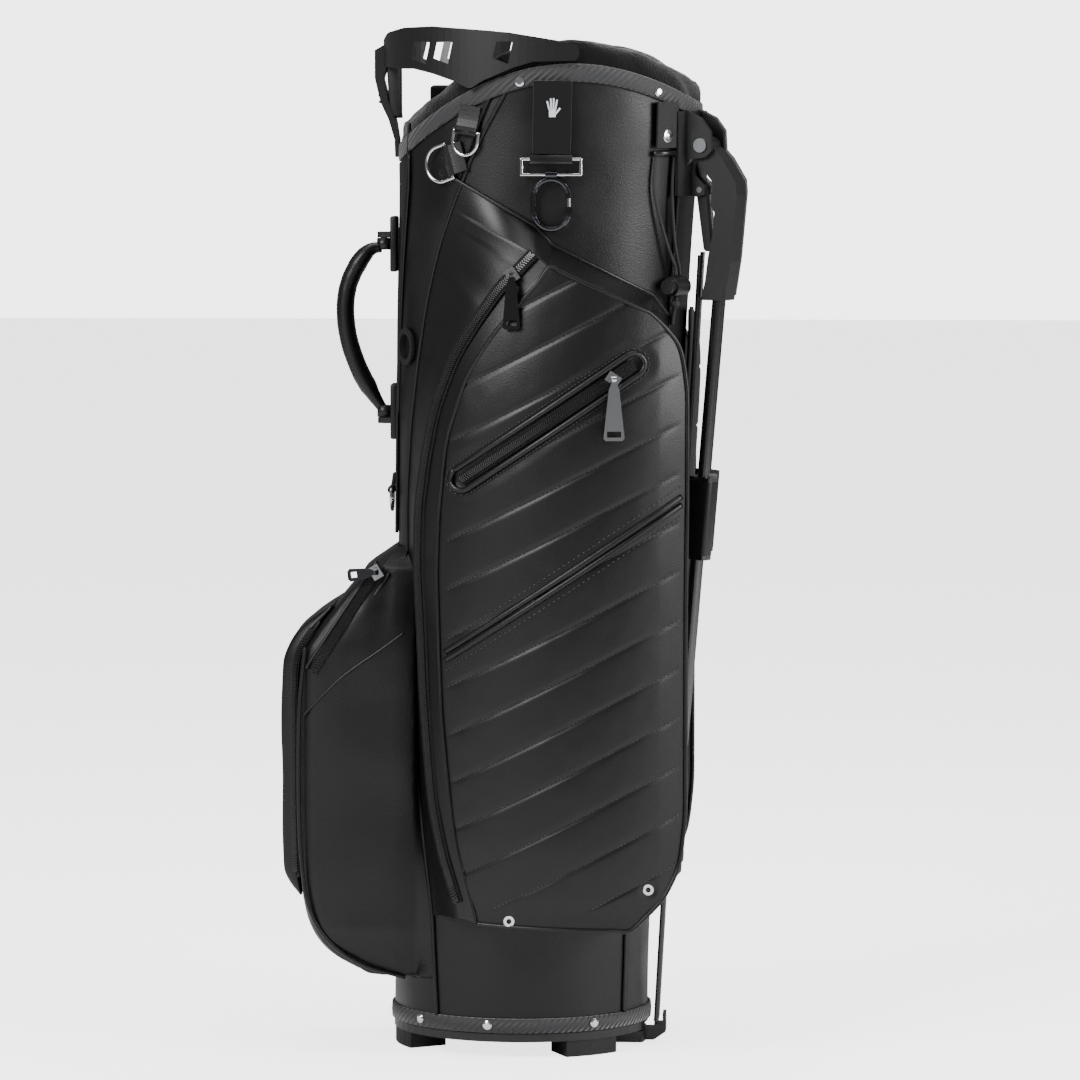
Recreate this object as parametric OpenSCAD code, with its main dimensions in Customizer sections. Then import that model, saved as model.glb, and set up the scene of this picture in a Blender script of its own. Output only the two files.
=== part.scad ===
// Golf stand bag. An oval tube of padded panels stands on a moulded base, with a padded saddle-shaped rim,
// a bridge handle over it, pockets on three sides and a pair of splayed legs that a kick lever throws out.
// +X points to the legs, -Y to the side with the quilted pocket, +Z up; the origin is the middle of the base.

/* [Body] */
// Half the length of the oval tube at the base
base_half_x = 111; // [106:1:114]
// Half the width of the oval tube at the base
base_half_y = 100; // [96:1:104]
// Half the length of the oval tube at the rim
cuff_half_x = 128; // [124:1:131]
// Half the width of the oval tube at the rim
cuff_half_y = 112; // [109:1:114]
// How far the rim's middle leans towards the legs
cuff_shift = 27; // [24:1:30]
// Height of the saddle-shaped rim at its crest
rim_height = 849; // [840:1:855]
// Thickness of a padded body panel
panel_t = 2.6; // [2:0.2:3]

/* [Base] */
// Height of the feet
foot_h = 14; // [10:1:16]
// Height of the hem tape's top edge
hem_top = 34; // [30:1:38]

/* [Pockets] */
// How far the side pockets' faces stand from the middle plane
pocket_reach = 152; // [146:1:156]
// How far the ball pocket reaches in front
ball_reach = 190; // [184:1:194]
// Half the width of the ball pocket
ball_half_w = 76; // [70:1:80]

/* [Legs] */
// Angle between a leg's swing plane and the bag's middle plane
leg_splay = 25; // [20:1:28]
// Distance from a leg's pivot to its tip
leg_len = 631; // [600:1:640]
// Radius of a leg tube
leg_r = 5; // [4.5:0.1:5.5]

/* [Handles] */
// Half the length of the bridge handle's oval
bridge_half_x = 145; // [143:1:147]
// Half the width of the bridge handle's oval
bridge_half_y = 118.5; // [118:0.5:121]
// Thickness of the bridge handle's wall
bridge_t = 5; // [4:0.5:6]

/* [Hardware] */
// Wire diameter of the D rings
ring_wire = 3; // [2.6:0.1:3.2]
// Radius of the umbrella hole
umbrella_r = 11; // [9:0.5:12]

/* [Hidden] */
$fn = 32;
RUN = 0.05; // running clearance round a pin
GAP = 0.4; // clearance between neighbouring pieces

// ---- vectors, points and swept shapes

function mix(a, b, t) = a + (b - a) * t;
function unit(v) = v / norm(v);
function smooth(t) = let (c = max(0, min(1, t))) c * c * (3 - 2 * c);
function ellipse_points(a, b, from, to, steps) =
    [for (i = [0 : steps]) let (t = mix(from, to, i / steps)) [a * cos(t), b * sin(t)]];

// outward normal of a grid of points whose rows go up and columns run anticlockwise seen from above
function grid_normal(g, i, j) =
    let (r = len(g) - 1, c = len(g[0]) - 1)
    unit(cross(g[i][min(j + 1, c)] - g[i][max(j - 1, 0)],
               g[min(i + 1, r)][j] - g[max(i - 1, 0)][j]));
function offset_grid(g, d) =
    [for (i = [0 : len(g) - 1]) [for (j = [0 : len(g[0]) - 1]) g[i][j] + d * grid_normal(g, i, j)]];

// a sheet of even thickness whose outer face is the grid
module thick_sheet(g, t) {
    r = len(g);
    c = len(g[0]);
    n = r * c;
    inner = offset_grid(g, -t);
    quads = concat(
        [for (i = [0 : r - 2], j = [0 : c - 2])
            let (a = i * c + j) [a, a + c, a + c + 1, a + 1]],
        [for (i = [0 : r - 2], j = [0 : c - 2])
            let (a = n + i * c + j) [a, a + 1, a + c + 1, a + c]],
        [for (j = [0 : c - 2]) [j, j + 1, n + j + 1, n + j]],
        [for (j = [0 : c - 2]) let (a = (r - 1) * c + j) [a + 1, a, n + a, n + a + 1]],
        [for (i = [0 : r - 2]) let (a = i * c) [a + c, a, n + a, n + a + c]],
        [for (i = [0 : r - 2]) let (a = i * c + c - 1) [a, a + c, n + a + c, n + a]]);
    polyhedron(concat([for (row = g) each row], [for (row = inner) each row]),
        [for (q = quads) each [[q[0], q[1], q[2]], [q[0], q[2], q[3]]]]);
}

// a solid through a list of equal rings of points, closed at its ends, or joined end to end as a loop
module loft(rings, loop = false) {
    n = len(rings);
    m = len(rings[0]);
    spans = loop ? n : n - 1;
    sides = [for (i = [0 : spans - 1], j = [0 : m - 1])
        let (k = (j + 1) % m, a = i * m, b = ((i + 1) % n) * m) each [[a + j, b + k, a + k], [a + j, b + j, b + k]]];
    caps = loop ? [] : [[for (j = [0 : m - 1]) j], [for (j = [m - 1 : -1 : 0]) (n - 1) * m + j]];
    polyhedron([for (r = rings) each r], concat(sides, caps));
}

// rings of a section, which is a list of [side, front] distances, along a path; side lies across ref
function sweep_rings(path, ref, section) =
    [for (i = [0 : len(path) - 1])
        let (t = unit(path[min(i + 1, len(path) - 1)] - path[max(i - 1, 0)]),
             a = unit(cross(ref, t)), b = cross(t, a),
             s = is_list(section[0][0]) ? section[i] : section)
        [for (p = s) path[i] + p[0] * a + p[1] * b]];
function round_section(r, sides, squash = 1) =
    [for (k = [0 : sides - 1]) let (t = 360 * k / sides) [r * cos(t), squash * r * sin(t)]];

// ---- the oval tube

function body_right(z) = lookup(z, [[0, base_half_x], [120, base_half_x + 2],
    [780, cuff_shift + cuff_half_x - 1], [900, cuff_shift + cuff_half_x + 2]]);
function body_left(z) = lookup(z, [[0, base_half_x - 1], [300, base_half_x - 4],
    [560, base_half_x - 6], [900, cuff_half_x - cuff_shift]]);
function mid_x(z) = (body_right(z) - body_left(z)) / 2;
function half_x(z) = (body_right(z) + body_left(z)) / 2;
function half_y(z) = mix(base_half_y, cuff_half_y, z / 900);
function skin(t, z, out = 0) =
    [mid_x(z) + (half_x(z) + out) * cos(t), (half_y(z) + out) * sin(t), z];
// angle of the outward normal at angle t
function skin_turn(t, z) = atan2(sin(t) / half_y(z), cos(t) / half_x(z));
// depth of the tube's near face at a place seen from the side
function skin_depth(x, z) =
    half_y(z) * sqrt(max(0, 1 - pow((x - mid_x(z)) / half_x(z), 2)));

crest_x = 50;
function rim_z(x) = rim_height - 0.003 * pow(x - crest_x, 2);
function rim_at(t) = rim_z(skin(t, 840)[0]);

// seam angles from +X: front panel to side panel, side panel to leg panel, and half the spine strip
front_seam = [[20, 127.6], [125, 131.8], [256, 145.4], [386, 153.6], [473, 155.5], [534, 152.5],
    [604, 145.6], [647, 140.7], [691, 134.3], [734, 126], [786, 115.3], [826, 104.7], [850, 100]];
leg_seam = [[20, 35], [850, 26]];
spine_half = [[440, 6], [560, 8], [700, 17], [785, 24]];
shell_bottom = hem_top - 10;
shell_mid_top = 815;

// grid of a panel between two seams given as functions of the height
function panel_grid(from, to, rows, cols, out = 0, low = shell_bottom, drop = 1) =
    [for (i = [0 : rows]) let (s = i / rows, zn = mix(low, shell_mid_top, s))
        [for (j = [0 : cols]) let (t = mix(from(zn), to(zn), j / cols),
            z = mix(low, rim_at(t) - drop, s)) skin(t, z, out)]];

edge = 0.15; // half the gap between two panels, in degrees
module front_panel() color("#1b1b1d") difference() {
    thick_sheet(panel_grid(function(z) lookup(z, front_seam) + edge,
        function(z) 360 - lookup(z, front_seam) - edge, 12, 12), panel_t);
    at_skin(umbrella_t, umbrella_z, -10) rotate([0, 90, 0]) cylinder(r = umbrella_r + 3, h = 20);
}
module spine_strip() color("#202022")
    thick_sheet(panel_grid(function(z) 180 - lookup(z, spine_half),
        function(z) 180 + lookup(z, spine_half), 8, 3, 1.8, 445, 16), 1.4);
module near_panel() color("#1b1b1d")
    thick_sheet(panel_grid(function(z) -lookup(z, front_seam) + edge,
        function(z) -lookup(z, leg_seam) - edge, 12, 10), panel_t);
module far_panel() color("#1b1b1d")
    thick_sheet(panel_grid(function(z) lookup(z, leg_seam) + edge,
        function(z) lookup(z, front_seam) - edge, 12, 10), panel_t);
module leg_panel() color("#1b1b1d")
    thick_sheet(panel_grid(function(z) -lookup(z, leg_seam) + edge,
        function(z) lookup(z, leg_seam) - edge, 12, 6), panel_t);

// places a local frame on the tube: +X outward, +Y anticlockwise along it, +Z up
module at_skin(t, z, out = 0)
    translate(skin(t, z, out)) rotate([0, 0, skin_turn(t, z)]) children();

// ---- rim, hem and what is inside the tube

module oval(z, out) polygon([for (p = ellipse_points(half_x(z) + out, half_y(z) + out, 0, 354, 59))
    [p[0] + mid_x(z), p[1]]]);

// a band that follows the rim: its section is a list of [outward, up] distances from the rim line
module rim_band(section, steps) loft([for (k = [0 : steps - 1])
    let (t = -360 * k / steps, h = rim_at(t), turn = skin_turn(t, h), p = skin(t, h))
    [for (s = section) p + [s[0] * cos(turn), s[0] * sin(turn), s[1]]]], loop = true);

module cuff_ring() color("#161617")
    rim_band([[-3.2, -52], [-3.2, -2], [-7, -2], [-7, -52]], 36);
module rim_webbing() color("#2a2a2c")
    rim_band([[0.5, -14], [2.6, -14], [2.6, 0], [0.5, 0]], 40);
module rim_collar() color("#16161a") rim_band([[-7.5, -16], [-7.4, 0.5], [-0.5, 0.8], [1, 7], [0.5, 14],
    [-4, 20], [-11, 22], [-18, 19], [-21, 10], [-19, -6], [-13, -16]], 36);
module hem_webbing() color("#262628") translate([0, 0, hem_top - 12])
    linear_extrude(12) difference() {
        oval(20, 2.8);
        oval(20, 0.6);
    }

divider_t = 8;
bar_x = [-15, 70]; // places of the two cross bars
module divider_top() color("#18181c") {
    long_end = [-body_left(790) + 25, body_right(790) - 22];
    rotate([90, 0, 0]) linear_extrude(divider_t, center = true)
        polygon(concat([[long_end[1], rim_z(long_end[1]) - 50], [long_end[0], rim_z(long_end[0]) - 50]],
            [for (i = [0 : 8]) let (x = mix(long_end[0], long_end[1], i / 8)) [x, rim_z(x) - 16]]));
    for (x = bar_x, side = [-1, 1]) translate([x - divider_t / 2, 0, rim_z(x) - 48])
        cube_span([0, divider_t, side > 0 ? divider_t / 2 : -skin_depth(x, 790) + 23,
            side > 0 ? skin_depth(x, 790) - 23 : -divider_t / 2, 0, 30]);
}
module cube_span(s) translate([s[0], s[2], s[4]]) cube([s[1] - s[0], s[3] - s[2], s[5] - s[4]]);

divider_low = 62;
divider_high = 722;
cloth_t = 1.6;
module divider_long() color("#222226")
    rotate([90, 0, 0]) linear_extrude(cloth_t, center = true) polygon([
        [-body_left(divider_low) + 8, divider_low], [body_right(divider_low) - 8, divider_low],
        [body_right(divider_high) - 16, divider_high], [-body_left(divider_high) + 16, divider_high]]);
module divider_cross() color("#222226") for (x = bar_x, side = [-1, 1])
    scale([1, side, 1]) translate([x - cloth_t / 2, 0, 0]) rotate([90, 0, 90]) linear_extrude(cloth_t)
        polygon([[cloth_t, divider_low], [skin_depth(x, divider_low) - 8, divider_low],
            [skin_depth(x, divider_high) - 16, divider_high], [cloth_t, divider_high]]);

stay_r = 3;
module stays() color("#3a3a3c") for (side = [-1, 1], a = [40, 90, 122]) {
    t = side * a;
    low = skin(t, 42, -13);
    high = skin(t, 745, -14);
    run = high - low;
    translate(low) rotate([0, acos(run[2] / norm(run)), atan2(run[1], run[0])])
        cylinder(r = stay_r, h = norm(run), $fn = 16);
}

// ---- base

tray_wall = 60;
module base_tray() color("#1a1a1b") {
    difference() {
        translate([0, 0, foot_h]) linear_extrude(7) oval(20, 0.5);
        rotate([90, 0, 0]) linear_extrude(54, center = true)
            polygon([[kick_pin[0], foot_h - 1], [120, foot_h - 1], [120, foot_h + 5.8], [kick_pin[0], foot_h + 0.1]]);
    }
    translate([0, 0, foot_h + 6.2]) linear_extrude(tray_wall - foot_h - 6.2) difference() {
        oval(20, -3.4);
        oval(20, -6.4);
    }
    for (side = [-1, 1]) for (y = side * [30, 41]) translate([kick_pin[0], y, kick_pin[2]]) rotate([90, 0, 0])
        cylinder(r = 6, h = 6, center = true);
}
// the part of the base oval between two angles, cut in from its edge by the given depth
module oval_sector(from, to, out, in) difference() {
    intersection() {
        oval(20, out);
        polygon(concat([[0, 0]], ellipse_points(260, 260, from, to, 6)));
    }
    oval(20, in);
}
module base_feet() color("#161616") {
    for (a = [[150, 210], [36, 64], [-64, -36]])
        linear_extrude(foot_h - 0.1) oval_sector(a[0], a[1], -0.5, -34);
    cylinder(r = 16, h = foot_h - 0.1);
}

kick_pin = [62, 0, 8.2];
module kick_lever() color("#202021") {
    difference() {
        translate([0, 0, 1.8]) linear_extrude(9.6) intersection() {
            oval_sector(-40, 40, -0.5, -58);
            square([300, 50], center = true);
        }
        translate(kick_pin) rotate([90, 0, 0]) cylinder(r = 2.5 + RUN, h = 90, center = true);
    }
    rotate([90, 0, 0]) linear_extrude(22, center = true) polygon([[104, 1.8], [117, 1.8], [127.4, 9],
        [127.4, 25], [124.6, 25], [124.6, 15.4], [117, 15.4], [116.4, 11.4], [104, 11.4]]);
}

// ---- stand legs: in a leg's own frame the pivot is the origin, +X points the way it swings

leg_pivot = [163, 48, 781];
module leg_frame(side) translate([leg_pivot[0], side * leg_pivot[1], leg_pivot[2]])
    rotate([0, 0, side * leg_splay]) children();
// a plate in the leg's swing plane
module swing_plate(w) rotate([90, 0, 0]) linear_extrude(w, center = true) children();

pin_r = 4;
link_pin = [-5, 0, -38];
link_pin_r = 2.5;
cheek_in = 10.5;
cheek_out = 14.5;
tube_top = [17, 0, -56];
tube_tip = [-35, 0, -leg_len];
tube_run = tube_tip - tube_top;
tube_lean = atan2(tube_run[0], tube_run[2]);
// along the tube's line, measured down from its top
module on_tube(down) translate(tube_top + unit(tube_run) * down) rotate([0, tube_lean, 0]) children();

module shroud() difference() {
    union() {
        swing_plate(19) polygon(concat(
            [for (t = [0 : 20 : 180]) 7.5 * [cos(t), sin(t)]],
            [[-6.6, -12], [8, -30], [9, -36], [7, -51], [11, -57], [9, -77], [5, -95], [2, -117],
             [-2, -132], [21, -132], [26.5, -99], [32, -42], [31, -31], [19, -12]]));
    }
    rotate([90, 0, 0]) cylinder(r = pin_r + RUN, h = 40, center = true);
    on_tube(0) cylinder(r = leg_r, h = 120);
}
sleeve_z = [-284, -355];
module leg() {
    on_tube(0) cylinder(r = leg_r, h = norm(tube_run) - 4);
    on_tube(norm(tube_run) - 34) difference() {
        union() {
            cylinder(r1 = 7.5, r2 = 9.5, h = 24);
            translate([0, 0, 24]) cylinder(r = 9.5, h = 6);
            translate([0, 0, 30]) cylinder(r1 = 9.5, r2 = 6, h = 4);
        }
        translate([0, 0, -1]) cylinder(r = leg_r + 0.3, h = 31.3);
    }
    on_tube((sleeve_z[0] - tube_top[2]) / unit(tube_run)[2]) difference() {
        linear_extrude(71) offset(4, $fn = 16) square([14.6, 8], center = true);
        translate([0, 0, -1]) cylinder(r = leg_r + 0.3, h = 73);
    }
}
module link() swing_plate(6) difference() {
    hull() {
        translate([link_pin[0], link_pin[2]]) circle(4.6);
        translate([1, -87]) circle(3.6);
    }
    translate([link_pin[0], link_pin[2]]) circle(link_pin_r + RUN);
}
module leg_near() color("#0c0c0d") leg_frame(-1) leg();
module leg_far() color("#0c0c0d") leg_frame(1) leg();
module shroud_near() color("#1d1d1f") leg_frame(-1) shroud();
module shroud_far() color("#1d1d1f") leg_frame(1) shroud();
module link_near() color("#1d1d1f") leg_frame(-1) link();
module link_far() color("#1d1d1f") leg_frame(1) link();

bracket_z = [738, 810];
module leg_bracket() color("#1c1c1e") {
    translate([0, 0, bracket_z[0]]) linear_extrude(bracket_z[1] - bracket_z[0])
        polygon(concat([for (t = [-34 : 4 : 34]) let (p = skin(t, bracket_z[1], 3.1)) [p[0], p[1]]],
            [for (t = [34 : -4 : -34]) let (p = skin(t, bracket_z[1], 6.6)) [p[0], p[1]]]));
    for (side = [-1, 1]) leg_frame(side) {
        for (y = [-1, 1]) translate([0, y * (cheek_in + cheek_out) / 2, 0]) difference() {
            swing_plate(cheek_out - cheek_in) polygon([[-19, 10], [-19, 27], [-14, 30], [0.7, 23],
                [9.3, 12], [10.3, -5], [4.4, -10], [-9, -12], [-14, -18], [-17, -18]]);
            rotate([90, 0, 0]) cylinder(r = pin_r, h = 9, center = true);
        }
        for (y = [-1, 1]) translate([0, y * 5, 0]) difference() {
            swing_plate(3) polygon([[-16, -14], [-16, -42], [-8, -44], [0, -42], [0.5, -35],
                [-9, -26], [-12.5, -14]]);
            translate(link_pin) rotate([90, 0, 0]) cylinder(r = link_pin_r, h = 9, center = true);
        }
    }
}
module pivot_pins() color("silver") {
    for (side = [-1, 1]) leg_frame(side) {
        rotate([90, 0, 0]) cylinder(r = pin_r, h = 2 * cheek_out, center = true);
        for (y = [-1, 1]) translate([0, y * (cheek_out + 0.8), 0]) rotate([90, 0, 0])
            cylinder(r = 6, h = 1.6, center = true);
        translate(link_pin) rotate([90, 0, 0]) cylinder(r = link_pin_r, h = 13.4, center = true);
    }
    translate(kick_pin) rotate([90, 0, 0]) cylinder(r = 2.5, h = 88, center = true);
}

rod_r = 2.2;
rod_top = [156.7, 45, 687];
rod_low = [119.2, 14, 20];
module rod_span(a, b) let (run = b - a) translate(a)
    rotate([0, acos(run[2] / norm(run)), atan2(run[1], run[0])]) cylinder(r = rod_r, h = norm(run), $fn = 20);
module actuator_rod() color("#2c2c2e") {
    for (side = [-1, 1]) {
        rod_span([rod_low[0], side * rod_low[1], rod_low[2]], [rod_top[0], side * rod_top[1], rod_top[2]]);
        translate([rod_low[0], side * rod_low[1], rod_low[2]]) sphere(rod_r + 0.15, $fn = 20);
    }
    translate(rod_low - [0, rod_low[1], 0]) rotate([90, 0, 0])
        cylinder(r = rod_r, h = 2 * rod_low[1], center = true, $fn = 20);
}

pad_z = [335, 640];
module hip_pad() color("#1e1e20") thick_sheet(
    [for (i = [0 : 8]) let (z = mix(pad_z[0], pad_z[1], i / 8))
        [for (j = [0 : 6]) let (w = j / 3 - 1, puff = (1 - pow(w, 4)) * (1 - pow(i / 4 - 1, 6)))
            [mid_x(z) + half_x(z) + 4 + 11 * puff, w * 25, z]]], 3.4);

// ---- handles

bridge_x = 27;
module top_handle() color("#19191a") {
    intersection() {
        translate([bridge_x, 0, 800]) linear_extrude(100) difference() {
            polygon(ellipse_points(bridge_half_x, bridge_half_y, 0, 357, 119));
            polygon(ellipse_points(bridge_half_x - bridge_t, bridge_half_y - bridge_t, 0, 357, 119));
        }
        rotate([90, 0, 0]) linear_extrude(300, center = true) difference() {
            offset(r = 6) offset(delta = -6) polygon([[56, 866], [-17, 878], [-70, 882], [-96, 881],
                [-112, 877], [-120, 868], [-120, 848], [-100, 846], [-87, 846], [-70, 842], [-52, 836],
                [-37, 829], [-26, 836], [0, 847], [17, 852], [56, 853]]);
            for (w = bridge_windows) translate([w, 0]) polygon([[0, 869], [-3, 855], [10, 850], [14, 869]]);
        }
    }
    // the nose of the handle, which comes down to the front of the rim
    rotate([90, 0, 0]) linear_extrude(26, center = true) offset(r = 1) offset(delta = -1) polygon([[-114.5, 868], [-114.5, 848], [-118, 838], [-113, 817],
        [-107, 801], [-104.5, 785], [-104.5, 770], [-107.5, 770], [-108, 785], [-113, 802], [-120, 817],
        [-125, 838], [-125, 862]]);
}
bridge_windows = [-86, -66, -14];
module handle_grip() color("#111112") rotate([90, 0, 0]) linear_extrude(22, center = true)
    polygon([[-112.7, 864], [-112.7, 847], [-117.6, 838], [-112.6, 817.4], [-106.6, 802], [-102, 808],
        [-99, 822], [-100, 838], [-105, 854]]);

carry_x = -118;
carry_z = [550, 695];
carry_path = [[-120.5, 0, 692], [-130, 0, 690], [-140, 0, 679], [-149, 0, 660], [-152, 0, 638],
    [-149, 0, 612], [-140, 0, 586], [-129, 0, 566], [-120.5, 0, 553]];
carry_radii = [5, 7, 9, 10, 10, 9.5, 8.5, 7, 5];
module carry_handle() color("#151516") {
    difference() {
        union() {
            loft(sweep_rings(carry_path, [0, 1, 0],
                [for (r = carry_radii) round_section(r, 10, 1.15)]));
            for (z = carry_z) translate([carry_x, 0, z]) cylinder(r = 6.5, h = 10, center = true);
        }
        for (z = carry_z) translate([carry_x, 0, z]) cylinder(r = 3 + RUN, h = 30, center = true);
    }
}
module handle_anchors() color("#1d1d1e") for (z = carry_z) {
    up = z > 620 ? 1 : -1; // the lug stands beyond the handle's end, clear of its swing
    translate([0, 0, z + up * 8 - 2.5]) linear_extrude(5) hull() {
        translate([carry_x, 0]) circle(6);
        translate([-111, -7]) square([2.8, 14]);
    }
    translate([carry_x, 0, z + (up > 0 ? -5 : -10.5)]) cylinder(r = 3, h = 15.5);
    translate([-111, -9, z - 22]) cube([2.8, 18, 44]);
}

// ---- side pocket: the curves below run up the pocket as seen from the side, as [height, x]

zip_line = [[123, -42], [143, -48], [177, -59], [221, -68], [264, -72], [317, -76], [369, -78],
    [421, -81], [473, -80], [517, -74], [560, -65], [604, -48], [639, -26], [669, -4], [691, 23]];
face_left = [[121, -30], [151, -39], [195, -50], [247, -56], [299, -61], [351, -63], [421, -65],
    [473, -63], [534, -56], [586, -39], [621, -17], [652, 9], [680, 35]];
face_right = [[117, 95], [123, 108], [138, 126], [169, 142], [212, 147], [386, 147], [490, 148],
    [575, 148], [610, 143], [626, 134], [636, 122], [640, 112]];
face_round = 175; // radius of the face's crown in plan
face_mid = 45;
function face_depth(x, z) = pocket_reach - face_round + sqrt(pow(face_round, 2) - pow(x - face_mid, 2))
    - 14 * smooth((z - 520) / 200) - 6 * smooth((200 - z) / 100);
function on_face(x, z, out = 0) = [x, -face_depth(x, z) - out, z];
function on_tube_side(x, z, out) = [x, -skin_depth(x, z) - out, z];
pocket_rows = 13;
function zip_rise(s) = mix(0.8, 0.92, smooth((s - 0.8) / 0.2)); // the zip's place between the tube and the face
zip_col = 3; // the column of the pocket's grid that the zip follows
function pocket_row(i) = let (s = i / pocket_rows, za = mix(121, 728, s), zz = mix(123, 691, s),
        zc = mix(121, 680, s), zb = mix(117, 640, s), a = skin(-lookup(za, front_seam), za, 0.6),
        c = [lookup(zc, face_left), zc], b = [lookup(zb, face_right), zb],
        zx = lookup(zz, zip_line), zl = mix(126, 626, s))
    concat([a], [for (k = [1 : 3]) let (x = mix(a[0], zx, k / 3), z = mix(za, zz, k / 3))
            [x, -mix(skin_depth(x, z) + 0.6, face_depth(x, z), zip_rise(s) * smooth(k / 3)), z]],
        [for (k = [0 : 6]) on_face(mix(c[0], b[0], k / 6), mix(c[1], b[1], k / 6))],
        [skin(-lookup(zl, leg_seam), zl, 0.6)]);
function edge_row(row, lift) = [for (j = [0 : len(row) - 1])
    let (p = row[j], x = min(p[0], 138)) on_tube_side(x, p[2] + mix(lift[0], lift[1], j / len(row)), 0.6)];
pocket_grid = let (rows = [for (i = [0 : pocket_rows]) pocket_row(i)])
    concat([edge_row(rows[0], [-1, 2])], rows, [edge_row(rows[pocket_rows], [27, 10])]);
module side_pocket() thick_sheet(pocket_grid, 3);
module near_pocket() color("#1a1a1c") side_pocket();
module far_pocket() color("#1a1a1c") mirror([0, 1, 0]) side_pocket();

// a zip chain along a line of points, flat against a face whose outward direction is given
chain_w = 8;
module chain(points, out, lift = 0.4) thick_sheet([for (i = [0 : len(points) - 1])
    let (t = unit(points[min(i + 1, len(points) - 1)] - points[max(i - 1, 0)]), a = unit(cross(t, out)))
    [for (w = [-0.5, 0.5]) points[i] - w * chain_w * a + lift * unit(out)]], 1.2);
welt_from = [-43, 500];
welt_to = [103, 598];
ball_from = [-116, 422];
ball_to = [-176, 326];
module main_chain() chain([for (i = [1 : pocket_rows + 1]) pocket_grid[i][zip_col]], [-0.5, -0.86, 0], 2.6);
module zip_chains() color("#101011") {
    main_chain();
    mirror([0, 1, 0]) main_chain();
    chain([for (k = [0 : 8]) on_face(mix(welt_from[0], welt_to[0], k / 8),
        mix(welt_from[1], welt_to[1], k / 8), 1.5)], [0, -1, 0]);
    chain([for (k = [0 : 8]) let (z = mix(ball_from[1], ball_to[1], k / 8))
        [mix(ball_from[0], ball_to[0], k / 8), -ball_width(z) - 1.2, z]], [0, -1, 0]);
}
module pocket_eyelets() color("silver") for (side = [-1, 1], p = [[-2, 125], [116, 152]])
    scale([1, side, 1]) translate(on_face(p[0], p[1], 0.4)) rotate([90, 0, 0]) difference() {
        cylinder(r = 4.6, h = 1.4);
        translate([0, 0, -1]) cylinder(r = 2.2, h = 4);
    }

// zip slider: +X away from the face, +Z up; the body turns with the track and the bridge stays level
bridge_out = 6;
module slider(tilt) {
    rotate([tilt, 0, 0]) translate([0, -4.5, -6]) cube([3, 9, 12]);
    for (y = [-3, 3]) translate([2, y - 0.9, -1.6]) cube([bridge_out - 0.4, 1.8, 3.2]);
    translate([bridge_out, 0, 0]) rotate([90, 0, 0]) cylinder(r = 1, h = 6, center = true, $fn = 20);
}
module pull(length, top_w, low_w) difference() {
    union() {
        translate([bridge_out, 0, 0]) rotate([90, 0, 0]) cylinder(r = 2.4, h = 3.6, center = true, $fn = 20);
        translate([bridge_out - 1, 0, 0]) rotate([90, 0, 90]) linear_extrude(2) difference() {
            polygon([[-1.6, -1.6], [1.6, -1.6], [top_w / 2, -9], [low_w / 2, -length + 2], [low_w / 2 - 2, -length],
                [2 - low_w / 2, -length], [-low_w / 2, -length + 2], [-top_w / 2, -9]]);
            translate([-low_w / 2 + 3, -length + 3]) square([low_w - 6, 5]);
        }
    }
    translate([bridge_out, 0, 0]) rotate([90, 0, 0]) cylinder(r = 1 + RUN, h = 9, center = true, $fn = 20);
}
near_spot = pocket_row(12.6)[zip_col];
near_turn = -96;
module near_place() translate(near_spot) rotate([0, 0, near_turn]) translate([5.2, 0, 0]) children();
welt_spot = on_face(86, lookup(86, [[welt_from[0], welt_from[1]], [welt_to[0], welt_to[1]]]), 4.2);
welt_turn = -79;
module welt_place() translate(welt_spot) rotate([0, 0, welt_turn]) children();
ball_spot = [-120, -ball_half_w + 2.6, 416];
module ball_place() translate(ball_spot) rotate([0, 0, -90]) rotate([-84, 0, 0]) children();
module near_slider() color("silver") near_place() slider(36);
module near_pull() color("#151515") near_place() pull(46, 9, 15);
module far_slider() color("silver") mirror([0, 1, 0]) near_place() slider(36);
module far_pull() color("#151515") mirror([0, 1, 0]) near_place() pull(46, 9, 15);
module welt_slider() color("silver") welt_place() slider(56);
module welt_pull() color("silver") welt_place() pull(52, 9, 18);
module ball_slider() color("silver") ball_place() slider(115);
module ball_pull() color("#141414") ball_place() pull(24, 9, 11);

// ---- ball pocket: rows of points round the pocket at each height, from the near seam to the far one

ball_front_x = [[62, -118], [73, -148], [88, -168], [110, -181], [140, -187], [210, -189], [300, -189],
    [345, -187], [370, -170], [395, -150], [425, -125]];
ball_z = [66, 74, 90, 114, 150, 220, 290, 345, 370, 395, 418];
function ball_row(z, front, half) = let (x = lookup(z, front), near = skin(lookup(z, front_seam), z, 0.8),
        side = [[near[0], near[1]], [-104, half - 1], [mix(-104, x, 0.55), half],
            [x + 9, half - 3], [x + 2, half - 11], [x, half - 30]])
    concat([for (p = side) [p[0], p[1], z]], [[x - 1, 0, z]],
        [for (i = [5 : -1 : 0]) [side[i][0], -side[i][1], z]]);
function on_front(row, z) = [for (p = row) let (t = mix(lookup(z, front_seam), 360 - lookup(z, front_seam),
    (row[0][1] - p[1]) / (2 * row[0][1]))) skin(t, z, 0.8)];
function ball_width(z) = ball_half_w - 10 * smooth((110 - z) / 50) - 8 * smooth((z - 340) / 90);
ball_grid = let (rows = [for (z = ball_z) ball_row(z, ball_front_x, ball_width(z))])
    concat([on_front(rows[0], ball_z[0] - 2)], rows, [on_front(rows[len(rows) - 1], 436)]);
module ball_pocket() color("#19191b") thick_sheet(ball_grid, 3);
flap_out = ball_reach + 14;
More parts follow.
